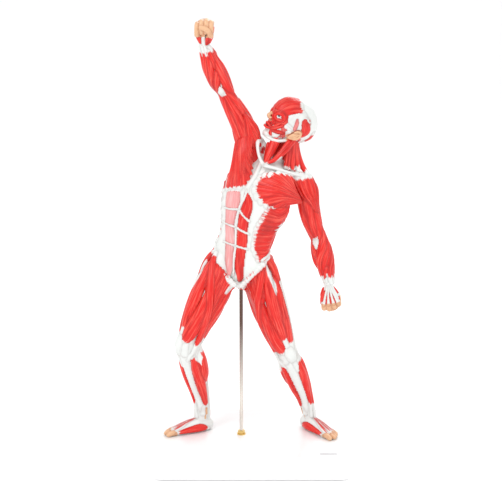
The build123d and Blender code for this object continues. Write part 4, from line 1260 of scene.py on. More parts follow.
def lay_arm(arm, roll):
    """Muscles of one arm; roll turns the forearm's muscles with the wrist, 0 with the palm in front."""
    clay = Clay()
    clay.lay(arm.core(arm_marks, red=(0.0, 0.42)), soft=0.0)

    def muscle(*stops, red=(0.0, 1.0), soft=0.7, tone=0.0):
        clay.lay(Strap(arm.run(*stops), red=red, tone=tone), soft=soft)

    def forearm(*stops, red=(0.05, 0.8), soft=0.6, tone=0.0):
        turned = [(s, angle + roll * min(max((s - 0.95) / 0.75, 0.0), 1.0), *rest)
                  for s, angle, *rest in stops]
        muscle(*turned, red=red, soft=soft, tone=tone)

    # Three-headed muscle down the back, with its flat tendon above the elbow.
    muscle((0.02, -150, 3.5, 5, 4), (0.30, -150, 5.0, 7, 5), (0.58, -158, 4.6, 6.5, 5),
           (0.80, -172, 3.0, 4, 3.4), (0.97, 180, 2.0, 3, 2),
           red=(0.0, 0.74))
    muscle((0.10, 128, 2.6, 4, 4), (0.34, 118, 3.2, 6.0, 4.4), (0.58, 118, 2.8, 5.6, 4),
           (0.78, 138, 2.4, 3.8, 3), (0.97, 170, 2.0, 3, 2),
           red=(0.0, 0.72))
    muscle((0.58, -118, 2.6, 4, 3.4), (0.78, -126, 3.2, 4, 3.4), (0.95, -150, 2.0, 2.4, 2.2))
    muscle((0.50, 178, 3.6, 3.6, 2.0), (0.75, 178, 3.4, 4, 2.2), (0.97, 178, 3.0, 4, 2.6),
           (1.05, 176, 2.2, 3, 2), red=no_red)
    # Front of the arm: the deep flexor on both sides of the two-headed one.
    muscle((0.44, 66, 2.4, 3.4, 3), (0.62, 60, 3.8, 4.4, 3.8), (0.82, 50, 3.4, 4, 3.4),
           (0.98, 30, 2.0, 3, 2.4))
    muscle((0.46, -74, 2.0, 3, 3), (0.66, -70, 3.2, 4, 3.4), (0.88, -52, 2.6, 3.4, 3),
           (1.0, -26, 1.6, 2.4, 2))
    muscle((-0.05, -78, 2.4, 3.4, 3), (0.16, -76, 3.2, 3.8, 3.4), (0.38, -72, 2.4, 2.6, 2.4), tone=-0.1)
    muscle((0.02, -22, 2.4, 3.6, 3), (0.25, -24, 4.4, 5.2, 4.2), (0.48, -22, 6.2, 6.2, 5.4),
           (0.68, -18, 5.6, 5.6, 4.8), (0.86, -12, 3.2, 3.4, 3),
           (0.98, -6, 1.8, 2.2, 1.8), red=(0.0, 0.90), soft=0.6)
    muscle((0.02, 14, 2.4, 3.4, 3), (0.25, 12, 4.2, 4.8, 4), (0.48, 10, 5.8, 5.2, 5),
           (0.68, 6, 5.2, 4.8, 4.4), (0.86, 0, 3.0, 3.0, 2.8),
           (0.98, -4, 1.8, 2.2, 1.8), red=(0.0, 0.90), soft=0.6)
    # White sheet from the flexor's tendon across the crook of the elbow.
    muscle((0.90, -8, 2.6, 2.6, 1.6), (1.00, -20, 2.8, 3.6, 1.4), (1.10, -40, 2.6, 2.6, 1.2), red=no_red,
           soft=1.0)

    # Forearm: flexors from the inner elbow, then the outer group, then the extensors behind.
    forearm((0.93, -104, 2.0, 3.2, 3), (1.12, -108, 3.6, 4.6, 4), (1.40, -104, 3.8, 4.4, 3.8),
            (1.68, -92, 2.8, 3, 2.8), (1.95, -72, 2.0, 1.6, 1.5),
            red=(0.04, 0.92))
    forearm((0.93, -84, 2.0, 3, 3), (1.14, -74, 3.8, 4, 3.8), (1.40, -56, 4.0, 4, 3.6),
            (1.66, -38, 2.8, 2.6, 2.4), (1.95, -20, 2.2, 1.3, 1.3),
            red=(0.04, 0.88))
    forearm((0.93, -70, 2.2, 3, 3), (1.12, -46, 4.0, 3.8, 3.6), (1.38, -22, 4.0, 3.6, 3.4),
            (1.66, -6, 2.6, 2.2, 2.2), (1.95, 6, 2.2, 1.3, 1.3),
            red=(0.04, 0.88))
    forearm((0.92, -58, 2.4, 2.8, 2.6), (1.06, -30, 3.6, 3.6, 3), (1.22, 0, 3.4, 3.4, 2.8),
            (1.34, 20, 2.2, 2.2, 2), red=(0.05, 1.0))
    forearm((1.40, 20, 2.2, 2.4, 2.2), (1.62, 22, 3.0, 3, 2.6), (1.80, 26, 2.4, 2.0, 2), red=(0.0, 0.9))
    forearm((0.74, 78, 3.0, 2.8, 2.8), (0.92, 62, 4.4, 4.2, 3.8), (1.12, 48, 5.2, 5.2, 4.4),
            (1.36, 40, 4.6, 4.6, 4), (1.60, 46, 3.0, 2.8, 2.6),
            (1.92, 58, 2.2, 1.6, 1.4), red=(0.0, 0.88))
    forearm((0.86, 98, 3.0, 3, 3), (1.10, 84, 4.8, 4.6, 4.2), (1.34, 78, 4.2, 4.2, 3.8),
            (1.58, 82, 2.8, 2.4, 2.4), (1.92, 96, 2.0, 1.4, 1.3),
            red=(0.0, 0.88))
    forearm((0.94, 120, 2.6, 3, 3), (1.16, 118, 4.2, 4.4, 4), (1.42, 122, 3.8, 4.2, 3.6),
            (1.66, 134, 2.6, 3, 2.4), (1.95, 150, 2.0, 2.2, 1.4),
            red=(0.03, 0.88))
    forearm((0.94, 146, 2.4, 2.6, 2.6), (1.18, 150, 3.8, 4, 3.6), (1.44, 158, 3.4, 3.8, 3.4),
            (1.68, 170, 2.4, 2.6, 2.2), (1.95, -174, 2.0, 1.6, 1.4),
            red=(0.03, 0.88))
    forearm((0.98, 172, 2.4, 2.6, 2.4), (1.22, -172, 3.2, 3.4, 3), (1.48, -164, 3.0, 3.2, 3),
            (1.70, -154, 2.4, 2.4, 2.2), (1.95, -140, 2.0, 1.6, 1.4),
            red=(0.1, 0.88))
    forearm((1.50, 128, 2.6, 2, 2), (1.66, 108, 3.6, 2.4, 2.2), (1.82, 84, 2.8, 1.8, 1.8),
            (1.96, 70, 2.0, 1.2, 1.2), red=(0.05, 0.9))
    # Red under the back of the shoulder.
    clay.brush(arm.run((-0.04, 176), (0.12, 178), (0.30, 176)), (11.0, 9.0, 5.0), "red", 16.0)
    # White band round the wrist that holds the tendons down.
    for s in (1.88, 1.98):
        clay.brush(arm.run(*[(s, angle) for angle in range(-180, 181, 30)]), 2.2)
    for angle in range(-170, 181, 40):
        clay.brush(arm.run((1.78 - 0.03 * (angle % 3), angle), (1.90, angle)), 0.9)
    return clay


# Shoulder muscle over each arm: from the collar bone, the shoulder's tip and the blade's spine.
right_arm = lay_arm(right_arm_core, 0.0)
on = right_arm_core.on
cap_start = [(-2.0, -12.0, 337.0, -0.1, -1.0, 0.1, 3, 2), (4.0, -10.5, 337.0, 0.5, -0.8, 0.3, 3, 2),
             (9.0, -4.0, 337.0, 0.9, -0.3, 0.3, 3, 2),
             (9.0, 5.0, 335.0, 0.9, 0.4, 0.3, 3, 2), (4.0, 12.0, 331.0, 0.4, 0.9, 0.2, 3, 2)]
cap_belly = [on(0.14, 14, 2.8, 3, 3.4), on(0.16, 46, 5.0, 3, 4), on(0.17, 80, 6.2, 3, 4.6),
             on(0.16, 112, 5.4, 3, 4), on(0.14, 146, 3.4, 3, 3.4)]
cap_low = [on(0.29, 30, 3.4, 3, 3.4), on(0.31, 50, 5.0, 3, 4), on(0.32, 74, 5.4, 3, 4.4),
           on(0.31, 94, 4.2, 3, 4), on(0.30, 116, 2.8, 3, 3.4)]
cap_end = [on(0.45, 50, 3.2, 1, 2.6), on(0.47, 58, 3.0, 1, 2.6), on(0.48, 66, 2.6, 1, 2.4),
           on(0.47, 74, 2.2, 1, 2.2)]
right_arm.lay(sheet([cap_start, cap_belly, cap_low, cap_end], 8, red=(0.0, 1.0), width=0.70), soft=0.6,
              within=0.8)
left_arm = lay_arm(left_arm_core, -130.0)
on = left_arm_core.on
cap_start = [(43.0, -10.0, 305.0, 0.1, -1.0, 0.5, 3, 3), (52.0, -9.0, 303.0, 0.3, -0.8, 0.5, 3, 3),
             (61.0, -4.0, 301.0, 0.6, -0.5, 0.6, 3, 3),
             (65.0, 3.0, 300.0, 0.8, 0.1, 0.6, 3, 3), (61.0, 11.0, 300.0, 0.5, 0.7, 0.5, 3, 3),
             (50.0, 15.0, 301.0, 0.1, 0.9, 0.4, 3, 3)]
cap_belly = [on(0.06, -6, 4.4, 3, 4), on(0.06, 24, 5.6, 3, 4.4), on(0.06, 54, 5.8, 3, 4.6),
             on(0.06, 84, 5.4, 3, 4.4), on(0.06, 112, 5.0, 3, 4),
             on(0.06, 142, 4.0, 3, 3.6)]
cap_low = [on(0.28, 22, 4.0, 3, 3.6), on(0.28, 44, 5.2, 3, 4), on(0.28, 66, 5.4, 3, 4.2),
           on(0.28, 88, 5.0, 3, 4), on(0.28, 110, 4.0, 3, 3.4)]
cap_end = [on(0.47, 58, 3.0, 1, 2.6), on(0.49, 68, 3.2, 1, 2.8), on(0.49, 78, 3.2, 1, 2.8),
           on(0.47, 88, 3.0, 1, 2.6)]
left_arm.lay(sheet([cap_start, cap_belly, cap_low, cap_end], 9, red=(0.08, 1.0), width=0.70), soft=0.6,
             within=0.8)
cast("right_arm", right_arm, 0.75)
cast("left_arm", left_arm, 0.75)

# ------------------------------------------------------------------ head
# A skull under its muscles: red mask of the face and brow, white cap and cheek fascia, buff nose,
# ears and chin. Its own axes run forward to the nose, to its left, and up to the crown.
head_up = unit([0.62, 0.0, 0.78])
head_forward = np.array([-0.72, -0.38, 0.58])
head_forward = unit(head_forward - (head_forward @ head_up) * head_up)
head_left = np.cross(head_up, head_forward)
head_middle = np.array([45.0, -1.0, 363.0])
head_axes = np.array([head_forward, head_left, head_up])


def in_head(f, l, u, out, w=2.0, h=1.5):
    """Row from head lengths: forward, left and up from the middle, and an outward direction."""
    return (*(head_middle + np.array([f, l, u]) @ head_axes), *(unit(out) @ head_axes), w, h)


head = Clay()
skull = Strap([in_head(-16.5, 0, 0.5, (0, 0, 1), 13.5, 17.6), in_head(-8, 0, 1.0, (0, 0, 1), 17.6, 22.2),
               in_head(2, 0, 1.0, (0, 0, 1), 18.4, 22.6), in_head(13, 0, 1.0, (0, 0, 1), 14, 18.6)],
              red=no_red)
jaw = Strap([in_head(8.5, 0, -4, (1, 0, 0), 13.6, 13.6), in_head(8, 0, -12, (1, 0, 0), 13.4, 12.6),
             in_head(8.5, 0, -19, (1, 0, 0), 11.4, 11.4), in_head(10.5, 0, -24, (1, 0, 0), 7.6, 7.0)],
            red=no_red)
head.lay([skull, jaw], soft=0.0, within=3.0)


def on_head(f, l, u, lift=0.0, w=2.0, h=1.5):
    """Row on the skin of the skull and jaw, at the place nearest to the one that is given."""
    spot = head_middle + np.array([f, l, u]) @ head_axes
    probes = np.array([[0, 0, 0], [0.2, 0, 0], [0, 0.2, 0], [0, 0, 0.2]])
    for _ in range(5):
        depths = np.full(4, 99.0)
        for strap in (skull, jaw):
            for i in range(len(strap.place) - 1):
                depths = np.minimum(depths, strap.measure(spot + probes, i)[0])
        outward = unit(depths[1:] - depths[0])
        spot = spot - np.clip(depths[0], -4.0, 4.0) * outward
    return (*(spot + outward * (lift - h)), *outward, w, h)


def face(*stops, red=(0.0, 1.0), soft=0.5, tone=0.0, pale=0.0):
    head.lay(Strap([on_head(*stop) for stop in stops], red=red, tone=tone, pale=pale, step=1.5), soft=soft)


for side in (1, -1):
    # Temple muscle under white fascia, brow muscle up over the forehead.
    temple = [on_head(12, side * 14, -1, 0.8, 3, 1.6), on_head(5, side * 17, -2, 0.8, 3, 1.6),
              on_head(-3, side * 18, -1, 0.8, 3, 1.6)]
    temple_mid = [on_head(12, side * 14, 6, 1.0, 3, 1.6), on_head(4, side * 17, 7, 1.0, 3, 1.6),
                  on_head(-6, side * 18, 6, 1.0, 3, 1.6)]
    temple_top = [on_head(12, side * 12, 12, 0.3, 3, 1.2), on_head(2, side * 15, 14, 0.3, 3, 1.2),
                  on_head(-9, side * 16, 10, 0.3, 3, 1.2)]
    head.lay(sheet([temple, temple_mid, temple_top], 5, red=no_red, width=0.8), soft=1.5, within=2.0)
    brow = [on_head(26, side * 1.4, 0, 1.0, 3, 1.5), on_head(23, side * 7, 1, 1.1, 3, 1.5),
            on_head(17, side * 12, 1.5, 1.3, 3, 1.6)]
    brow_low = [on_head(26, side * 1.4, 8, 1.0, 3, 1.5), on_head(22, side * 9, 8, 1.1, 3, 1.5),
                on_head(14, side * 14, 5.5, 1.6, 3, 1.7)]
    brow_high = [on_head(22, side * 1.4, 16, 1.0, 3, 1.5), on_head(17, side * 9, 16, 1.1, 3, 1.5),
                 on_head(11, side * 15, 10, 1.6, 3, 1.7)]
    brow_top = [on_head(11, side * 1.4, 22, 0.7, 3, 1.3), on_head(8, side * 8, 21, 0.7, 3, 1.3),
                on_head(4, side * 15, 15, 0.7, 3, 1.3)]
    head.lay(sheet([brow, brow_low, brow_high, brow_top], 7, red=(0.0, 0.95), width=0.74, jitter=0.05),
             soft=0.6, within=0.9)
    # Back of the scalp, and the red patches over and behind the ear.
    face((-22, side * 7, 2, 0.7, 4, 1.4), (-25, side * 7, -4, 0.9, 4.5, 1.6),
         (-23, side * 8, -12, 0.6, 4, 1.4), red=(0.1, 0.9))
    face((-3, side * 18, 6.5, 1.4, 3.8, 1.8), (-8, side * 18, 3.5, 1.8, 5.4, 2.0),
         (-12.5, side * 16.5, -0.5, 1.6, 5.4, 1.9),
         (-12, side * 16, -6, 1.0, 3.6, 1.5), red=(0.0, 1.0))
    face((5, side * 18, 4.0, 1.2, 1.8, 1.4), (2.4, side * 18, -1.5, 1.6, 2.4, 1.6),
         (0.5, side * 18, -6.0, 1.2, 1.6, 1.4), pale=0.6)
    face((-12, side * 14, -10, 0.6, 1.6, 1.2), (-16, side * 12, -13.5, 0.8, 1.8, 1.4),
         (-17, side * 9, -18, 0.4, 1.2, 1.0), pale=0.4)
    # Cheek bone, chewing muscle and the gland's white fascia before the ear.
    face((9, side * 15, -9.5, 1.6, 1.8, 1.8), (3, side * 17, -9.5, 1.2, 1.6, 1.6), red=no_red, soft=1.2)
    chew_top = [on_head(11, side * 13, -11, 1.6, 3, 2), on_head(5, side * 15, -11.5, 1.6, 3, 2)]
    chew_low = [on_head(4, side * 11, -25, 1.0, 3, 1.8), on_head(-2.5, side * 12, -20, 1.0, 3, 1.8)]
    head.lay(sheet([chew_top, chew_low], 4, red=(0.0, 0.94), width=0.75, pale=0.25), soft=0.7, within=0.8)
    face((3, side * 16, -13, 2.2, 3.4, 2.0), (0, side * 15.5, -19, 1.8, 2.6, 1.8), red=no_red, soft=1.2)
    # Two rings round the eye, with the eyeball in them and its lids.
    for f, depth, l, across, tall, lift, h, soft in ((19, 2.4, 9.8, 4.8, 3.8, 1.6, 1.6, 0.5),
            (17.4, 3.6, 10.2, 7.4, 6.6, 0.9, 1.4, 0.4)):
        ring = []
        for turn in [2 * math.pi * i / 12 for i in range(13)]:
            ring.append(on_head(f - depth * math.cos(turn), side * (l + across * math.cos(turn)),
                                -5.4 + tall * math.sin(turn), lift, 1.9, h))
        head.lay(Strap(ring, step=1.5), soft=soft)
    eyeball = in_head(16.4, side * 9.8, -5.6, (1, 0, 0), 3.1, 3.1)
    head.lay(Strap([eyeball, in_head(16.7, side * 9.8, -5.6, (1, 0, 0), 3.1, 3.1)], red=no_red, step=0.3),
             soft=0.2)
    head.brush([in_head(20.0, side * 9.6, -4.6, (1, side * 0.2, 0), 1, 1),
                in_head(20.0, side * 9.8, -5.0, (1, side * 0.2, 0), 1, 1)], 1.1, "ink", 3.0)
    for height in (1.7, -1.7):
        head.lay(Strap([in_head(18.8, side * 6.4, -5.6, (1, 0, 0), 0.7, 0.7),
                        in_head(19.6, side * 9.8, -5.6 + height, (1, 0, 0.3), 0.9, 0.8),
                        in_head(17.0, side * 13.2, -5.6, (1, side, 0), 0.7, 0.7)], step=1.0), soft=0.3)
    # Side of the nose, lip raisers, cheek muscles and the ring of the mouth.
    face((22, side * 2.4, -3, 1.4, 1.4, 1.4), (22, side * 3.6, -8, 1.6, 1.5, 1.5),
         (21, side * 5.6, -14, 1.8, 1.4, 1.4), (20.6, side * 6, -17.5, 1.4, 1.1, 1.1))
    face((19, side * 7.5, -9, 1.2, 1.5, 1.4), (19.4, side * 6.8, -14, 1.8, 1.4, 1.4),
         (20.4, side * 5.2, -18, 1.6, 1.1, 1.1), tone=-0.15)
    face((15.5, side * 11.5, -10, 1.8, 1.5, 1.4), (17, side * 9.6, -15, 2.0, 1.5, 1.4),
         (18.6, side * 6.8, -20.5, 1.4, 1.2, 1.2))
    face((12.5, side * 13.2, -11, 2.4, 1.4, 1.3), (15, side * 11, -16.5, 2.0, 1.5, 1.4),
         (18, side * 7, -21.5, 1.4, 1.2, 1.2), tone=0.1)
    face((6, side * 12.5, -16, 0.9, 2.6, 1.4), (11, side * 10.8, -19, 0.9, 2.6, 1.4),
         (16.5, side * 7.6, -22, 0.8, 1.8, 1.2), tone=-0.4)
    face((17.4, side * 6.8, -22.5, 1.4, 1.3, 1.2), (15.6, side * 7.4, -26, 1.2, 1.9, 1.2),
         (13.0, side * 7.4, -29.5, 0.8, 1.9, 1.1), red=(0.0, 0.8))
    # Neck muscle's upper end behind the ear, white, and the jaw's lower edge.
    face((-7, side * 15.5, -13, 1.2, 2.4, 1.8), (-9, side * 14, -19, 1.6, 2.8, 2.2), red=no_red, soft=1.2)
    head.lay(Strap([in_head(-2.5, side * 13, -20.5, (0, side, -0.4), 1.9, 1.8),
                    in_head(4, side * 12, -26.5, (0, side, -0.8), 1.8, 1.6),
                    in_head(11, side * 8.0, -30.2, (0.2, side, -0.8), 1.8, 1.6),
                    in_head(15.5, side * 3.0, -31.0, (0.6, side * 0.5, -0.8), 1.8, 1.8)],
                   red=no_red), soft=0.8)
    # Ear: rim, inner fold, bowl and lobe.
    ear_low = np.array([0.6, side * 17.4, -17.2])
    ear_high = np.array([-5.6, side * 18.8, -5.2])
    up = unit(ear_high - ear_low)
    back = unit(np.cross([0, side, 0], up)) * side
    back = -back if back[0] > 0 else back
    spots = [ear_low + up * t * 13.6 + back * b + np.array([0, side * o, 0]) for t, b, o in
             ((0.02, -0.2, 0.6), (0.16, 2.0, 1.0), (0.42, 4.4, 2.0), (0.72, 5.2, 2.4), (0.96, 3.2, 2.2),
              (1.02, 0.4, 1.8), (0.86, -1.8, 1.2), (0.66, -1.8, 0.6))]
    ear_rim = [in_head(*spot, (0.2, side, 0), 1.25, 1.2) for spot in spots]
    ear_bowl = [in_head(*(ear_low + up * t * 13.6 + back * b), (0.2, side, 0), w, 1.3)
                for t, b, w in ((0.10, 0.6, 2.2), (0.45, 1.6, 3.4), (0.82, 1.8, 3.2))]
    ear_fold = [in_head(*(ear_low + up * t * 13.6 + back * b + np.array([0, side * 1.3, 0])), (0.2, side, 0),
                        0.9, 0.9) for t, b in
                ((0.2, 1.8), (0.5, 3.0), (0.84, 2.2))]
    head.lay([Strap(ear_rim, step=1.2), Strap(ear_bowl), Strap(ear_fold, step=1.2)], soft=0.5, within=0.6)
    head.brush([in_head(*(ear_low + up * t * 13.6 + back * 1.4), (0.1, side, 0), 1, 1)
                for t in (0.12, 0.5, 0.88)], 4.6, "skin", 4.5)

head.brush([in_head(26, -2, -2.5, (1, 0, 0), 1, 1), in_head(26, 2, -2.5, (1, 0, 0), 1, 1)], 2.8, "red", 6.0)

# Nose, lips and chin on the middle line.
head.lay([Strap([in_head(22.6, 0, -1.5, (1, 0, 0), 1.7, 1.8), in_head(25.2, 0, -7.0, (1, 0, 0.1), 1.9, 2.2),
                 in_head(26.6, 0, -11.0, (1, 0, 0), 2.6, 2.4)]),
          Strap([in_head(24.6, 3.0, -12.4, (1, 0.6, 0), 1.6, 1.6),
                 in_head(25.8, 0.0, -12.8, (1, 0, -0.6), 1.8, 1.3),
                 in_head(24.6, -3.0, -12.4, (1, -0.6, 0), 1.6, 1.6)], step=1.2)], soft=0.6, within=1.2)
head.brush([in_head(27.5, 0, -9.4, (1, 0, 0), 1, 1), in_head(27.5, 0, -12.4, (1, 0, 0), 1, 1)], 3.3, "skin",
           6.0)
head.brush([in_head(25.2, -2.8, -11.8, (1, -0.7, 0), 1, 1), in_head(25.2, 2.8, -11.8, (1, 0.7, 0), 1, 1)],
           2.0, "skin", 4.0)
for height, front, thick in ((-19.0, 22.6, 1.5), (-22.6, 22.2, 1.6)):
    head.lay(Strap([in_head(17.6, 6.4, -20.8, (1, 1, 0), 0.9, 0.9),
                    in_head(21.4, 3.6, height, (1, 0.4, 0), thick, 1.4),
                    in_head(front, 0, height, (1, 0, 0), thick, 1.6),
                    in_head(21.4, -3.6, height, (1, -0.4, 0), thick, 1.4),
                    in_head(17.6, -6.4, -20.8, (1, -1, 0), 0.9, 0.9)], step=1.2, tone=0.1), soft=0.4)
head.lay(Strap([in_head(21.0, 0, -16.0, (1, 0, 0), 3.4, 1.8), in_head(21.4, 0, -17.6, (1, 0, 0), 3.6, 1.6)]),
         soft=0.8)
head.lay(Strap([in_head(15.8, 3.0, -28.4, (1, 0, -0.2), 3.2, 3.2),
                in_head(16.4, 0, -28.6, (1, 0, -0.2), 3.6, 3.6),
                in_head(15.8, -3.0, -28.4, (1, 0, -0.2), 3.2, 3.2)],
               red=no_red), soft=1.0)
head.brush([in_head(20.5, -5.4, -20.8, (1, -0.6, 0), 1, 1), in_head(22.8, 0, -20.8, (1, 0, 0), 1, 1),
            in_head(20.5, 5.4, -20.8, (1, 0.6, 0), 1, 1)], 0.35, "ink", 4.0)
cast("head", head, 0.55)

# ------------------------------------------------------------------ hands
# Solid clenched fists, glued to the wrists: buff fingers, red pads and white tendons. Each hand's
# axes run from its wrist to its knuckles, out of the back of the hand, and towards the thumb.


def lay_hand(wrist, along, back, handed, size, stretch):
    """Fist with its fingers curled to the palm; stretch lengthens it from wrist to knuckles."""
    wrist = np.array(wrist)
    along = unit(along)
    back = unit(np.array(back) - (np.array(back) @ along) * along)
    axes = np.array([along, back, handed * np.cross(along, back)])
    clay = Clay()

    def at(a, b, t, out, w=2.0, h=2.0):
        return (*(wrist + size * np.array([a * stretch, b, t]) @ axes), *(unit(out) @ axes), w * size,
                h * size)

    # Wrist and palm.
    clay.lay(Strap([at(-3.0, 0, 0, (0, 1, 0), 4.8, 4.2), at(2.5, 0, 0, (0, 1, 0), 5.4, 4.0),
                    at(9, 0.4, -0.2, (0, 1, 0), 7.8, 4.0),
                    at(15, 0.6, -0.4, (0, 1, 0), 8.4, 3.8)], red=no_red), soft=0.0)
    # Fingers: knuckle, first joint forward over the palm, middle joint down, tip tucked in.
    for i, (t, reach) in enumerate(((7.6, 20.0), (2.5, 21.2), (-2.7, 20.4), (-7.6, 18.2))):
        thick = (2.9, 3.0, 2.9, 2.6)[i]
        rows = [at(14.0, 2.6, t * 0.94, (0, 1, 0), thick, 2.2),
                at(reach - 2.2, 2.0, t, (0.4, 1, 0), thick, 2.7),
                at(reach - 1.6, -3.4, t, (1, 0, 0), thick, 2.7),
                at(reach - 2.6, -8.4, t, (1, -0.5, 0), thick, 2.8),
                at(reach - 7.2, -9.8, t, (0, -1, 0), thick, 2.6),
                at(reach - 11.0, -7.6, t, (0, -1, 0), thick, 2.4),
                at(reach - 10.6, -4.2, t, (-1, 0, 0), thick, 2.0)]
        clay.lay(Strap(rows, red=no_red, step=1.5), soft=0.35)
    # Thumb: from the ball of the thumb across the middle joints.
    thumb = [at(2.0, -3.4, 5.0, (0, -0.6, 1), 3.6, 3.2), at(7.0, -6.8, 7.2, (0, -1, 1), 3.6, 3.2),
             at(11.0, -11.4, 5.6, (0, -1, 0.6), 2.9, 2.6),
             at(13.6, -13.4, 1.2, (0, -1, 0), 2.8, 2.4), at(14.2, -13.4, -3.0, (0, -1, 0), 2.5, 2.0)]
    clay.lay(Strap(thumb, red=(0.0, 0.28), step=1.5), soft=0.4)
    # Red pads at the ball of the thumb and the heel of the hand, with white tendons between them.
    clay.lay(Strap([at(-0.5, -3.6, 3.4, (0, -1, 0.4), 1.8, 1.6), at(4.0, -5.8, 5.0, (0, -1, 0.6), 3.2, 2.6),
                    at(9.0, -7.4, 6.4, (0, -1, 0.8), 2.4, 2.2)], step=1.5), soft=0.5)
    clay.lay(Strap([at(0.5, -3.2, -3.8, (0, -1, -0.4), 1.8, 1.6),
                    at(6.0, -4.6, -6.0, (0, -1, -0.6), 3.0, 2.4),
                    at(11.5, -4.6, -7.4, (0, -1, -0.8), 2.2, 2.0)], step=1.5), soft=0.5)
    clay.lay(Strap([at(-2.5, -4.2, 0, (0, -1, 0), 1.9, 1.0), at(3.0, -4.8, -0.4, (0, -1, 0), 2.0, 1.2),
                    at(8.0, -6.4, -0.6, (0, -1, 0), 2.6, 1.2)], red=no_red), soft=0.6)
    # Back of the hand: red between the bones under a fan of white tendons.
    for t0, t1 in ((2.4, 5.2), (0.6, 0.0), (-1.6, -5.2)):
        clay.lay(Strap([at(4.0, 3.2, t0, (0, 1, 0), 1.0, 1.2),
                        at(9.0, 3.7, (t0 + t1) / 2, (0, 1, 0), 1.9, 1.4),
                        at(13.6, 3.8, t1, (0, 1, 0), 1.7, 1.3)], step=1.5), soft=0.3)
    clay.lay(Strap([at(3.5, 2.2, 4.4, (0, 1, 0.7), 1.6, 1.6), at(8.5, 1.8, 7.6, (0, 1, 1), 2.8, 2.4),
                    at(13.4, 1.2, 9.0, (0, 0.6, 1), 2.0, 2.0)], step=1.5), soft=0.4)
    for t0, t1 in ((1.6, 7.6), (0.6, 2.5), (-0.6, -2.7), (-1.6, -7.4)):
        clay.lay(Strap([at(-1.5, 3.6, t0, (0, 1, 0), 0.9, 1.0),
                        at(5.0, 4.3, t0 + 0.35 * (t1 - t0), (0, 1, 0), 0.9, 1.0),
                        at(11.0, 4.7, t0 + 0.75 * (t1 - t0), (0, 1, 0), 1.1, 1.0),
                        at(15.5, 4.6, t1, (0, 1, 0), 1.7, 1.0)], red=no_red, step=1.5), soft=0.3)
    # Buff skin from the knuckles on.
    for t in (7.6, 2.5, -2.7, -7.6):
        clay.brush([at(17.0, 5.0, t, (0.4, 1, 0), 1, 1), at(21.0, 2.0, t, (1, 1, 0), 1, 1)], 2.9 * size,
                   "skin", 5.0)
        clay.brush([at(20.0, 2.0, t, (1, 0, 0), 1, 1), at(20.0, -9.0, t, (1, 0, 0), 1, 1)], 3.6 * size,
                   "skin", 5.0)
        clay.brush([at(19.0, -11.0, t, (0, -1, 0), 1, 1), at(8.0, -10.0, t, (0, -1, 0), 1, 1)], 3.6 * size,
                   "skin", 6.0)
    for edge in (1, -1):
        clay.brush([at(18.0, 2.0, edge * 10.0, (0, 0, edge), 1, 1),
                    at(17.0, -8.0, edge * 10.0, (0, 0, edge), 1, 1)], 3.8 * size, "skin", 5.0)
        clay.brush([at(12.0, -9.0, edge * 10.0, (0, 0, edge), 1, 1),
                    at(17.0, -9.0, edge * 10.0, (0, 0, edge), 1, 1)], 4.4 * size, "skin", 5.0)
    clay.brush([(*row[:6], 1, 1) for row in thumb[2:]], 4.0 * size, "skin", 5.0)
    return clay


right_hand = lay_hand((-50.9, -17.4, 446.5), (0.04, -0.10, 1.0), (0.0, 1.0, 0.0), -1, 0.98, 1.20)
cast("right_hand", right_hand, 0.5)
left_hand = lay_hand((87.0, -7.0, 176.0), (0.14, -0.20, -1.0), (-0.1, -1.0, 0.0), 1, 1.10, 1.12)
cast("left_hand", left_hand, 0.5)

# ------------------------------------------------------------------ feet
# Solid feet, glued to the ankles: white top with thin red lines between the tendons, red muscle
# along both edges of the sole, and buff toes. Lengths run forward, outward and up from the heel.


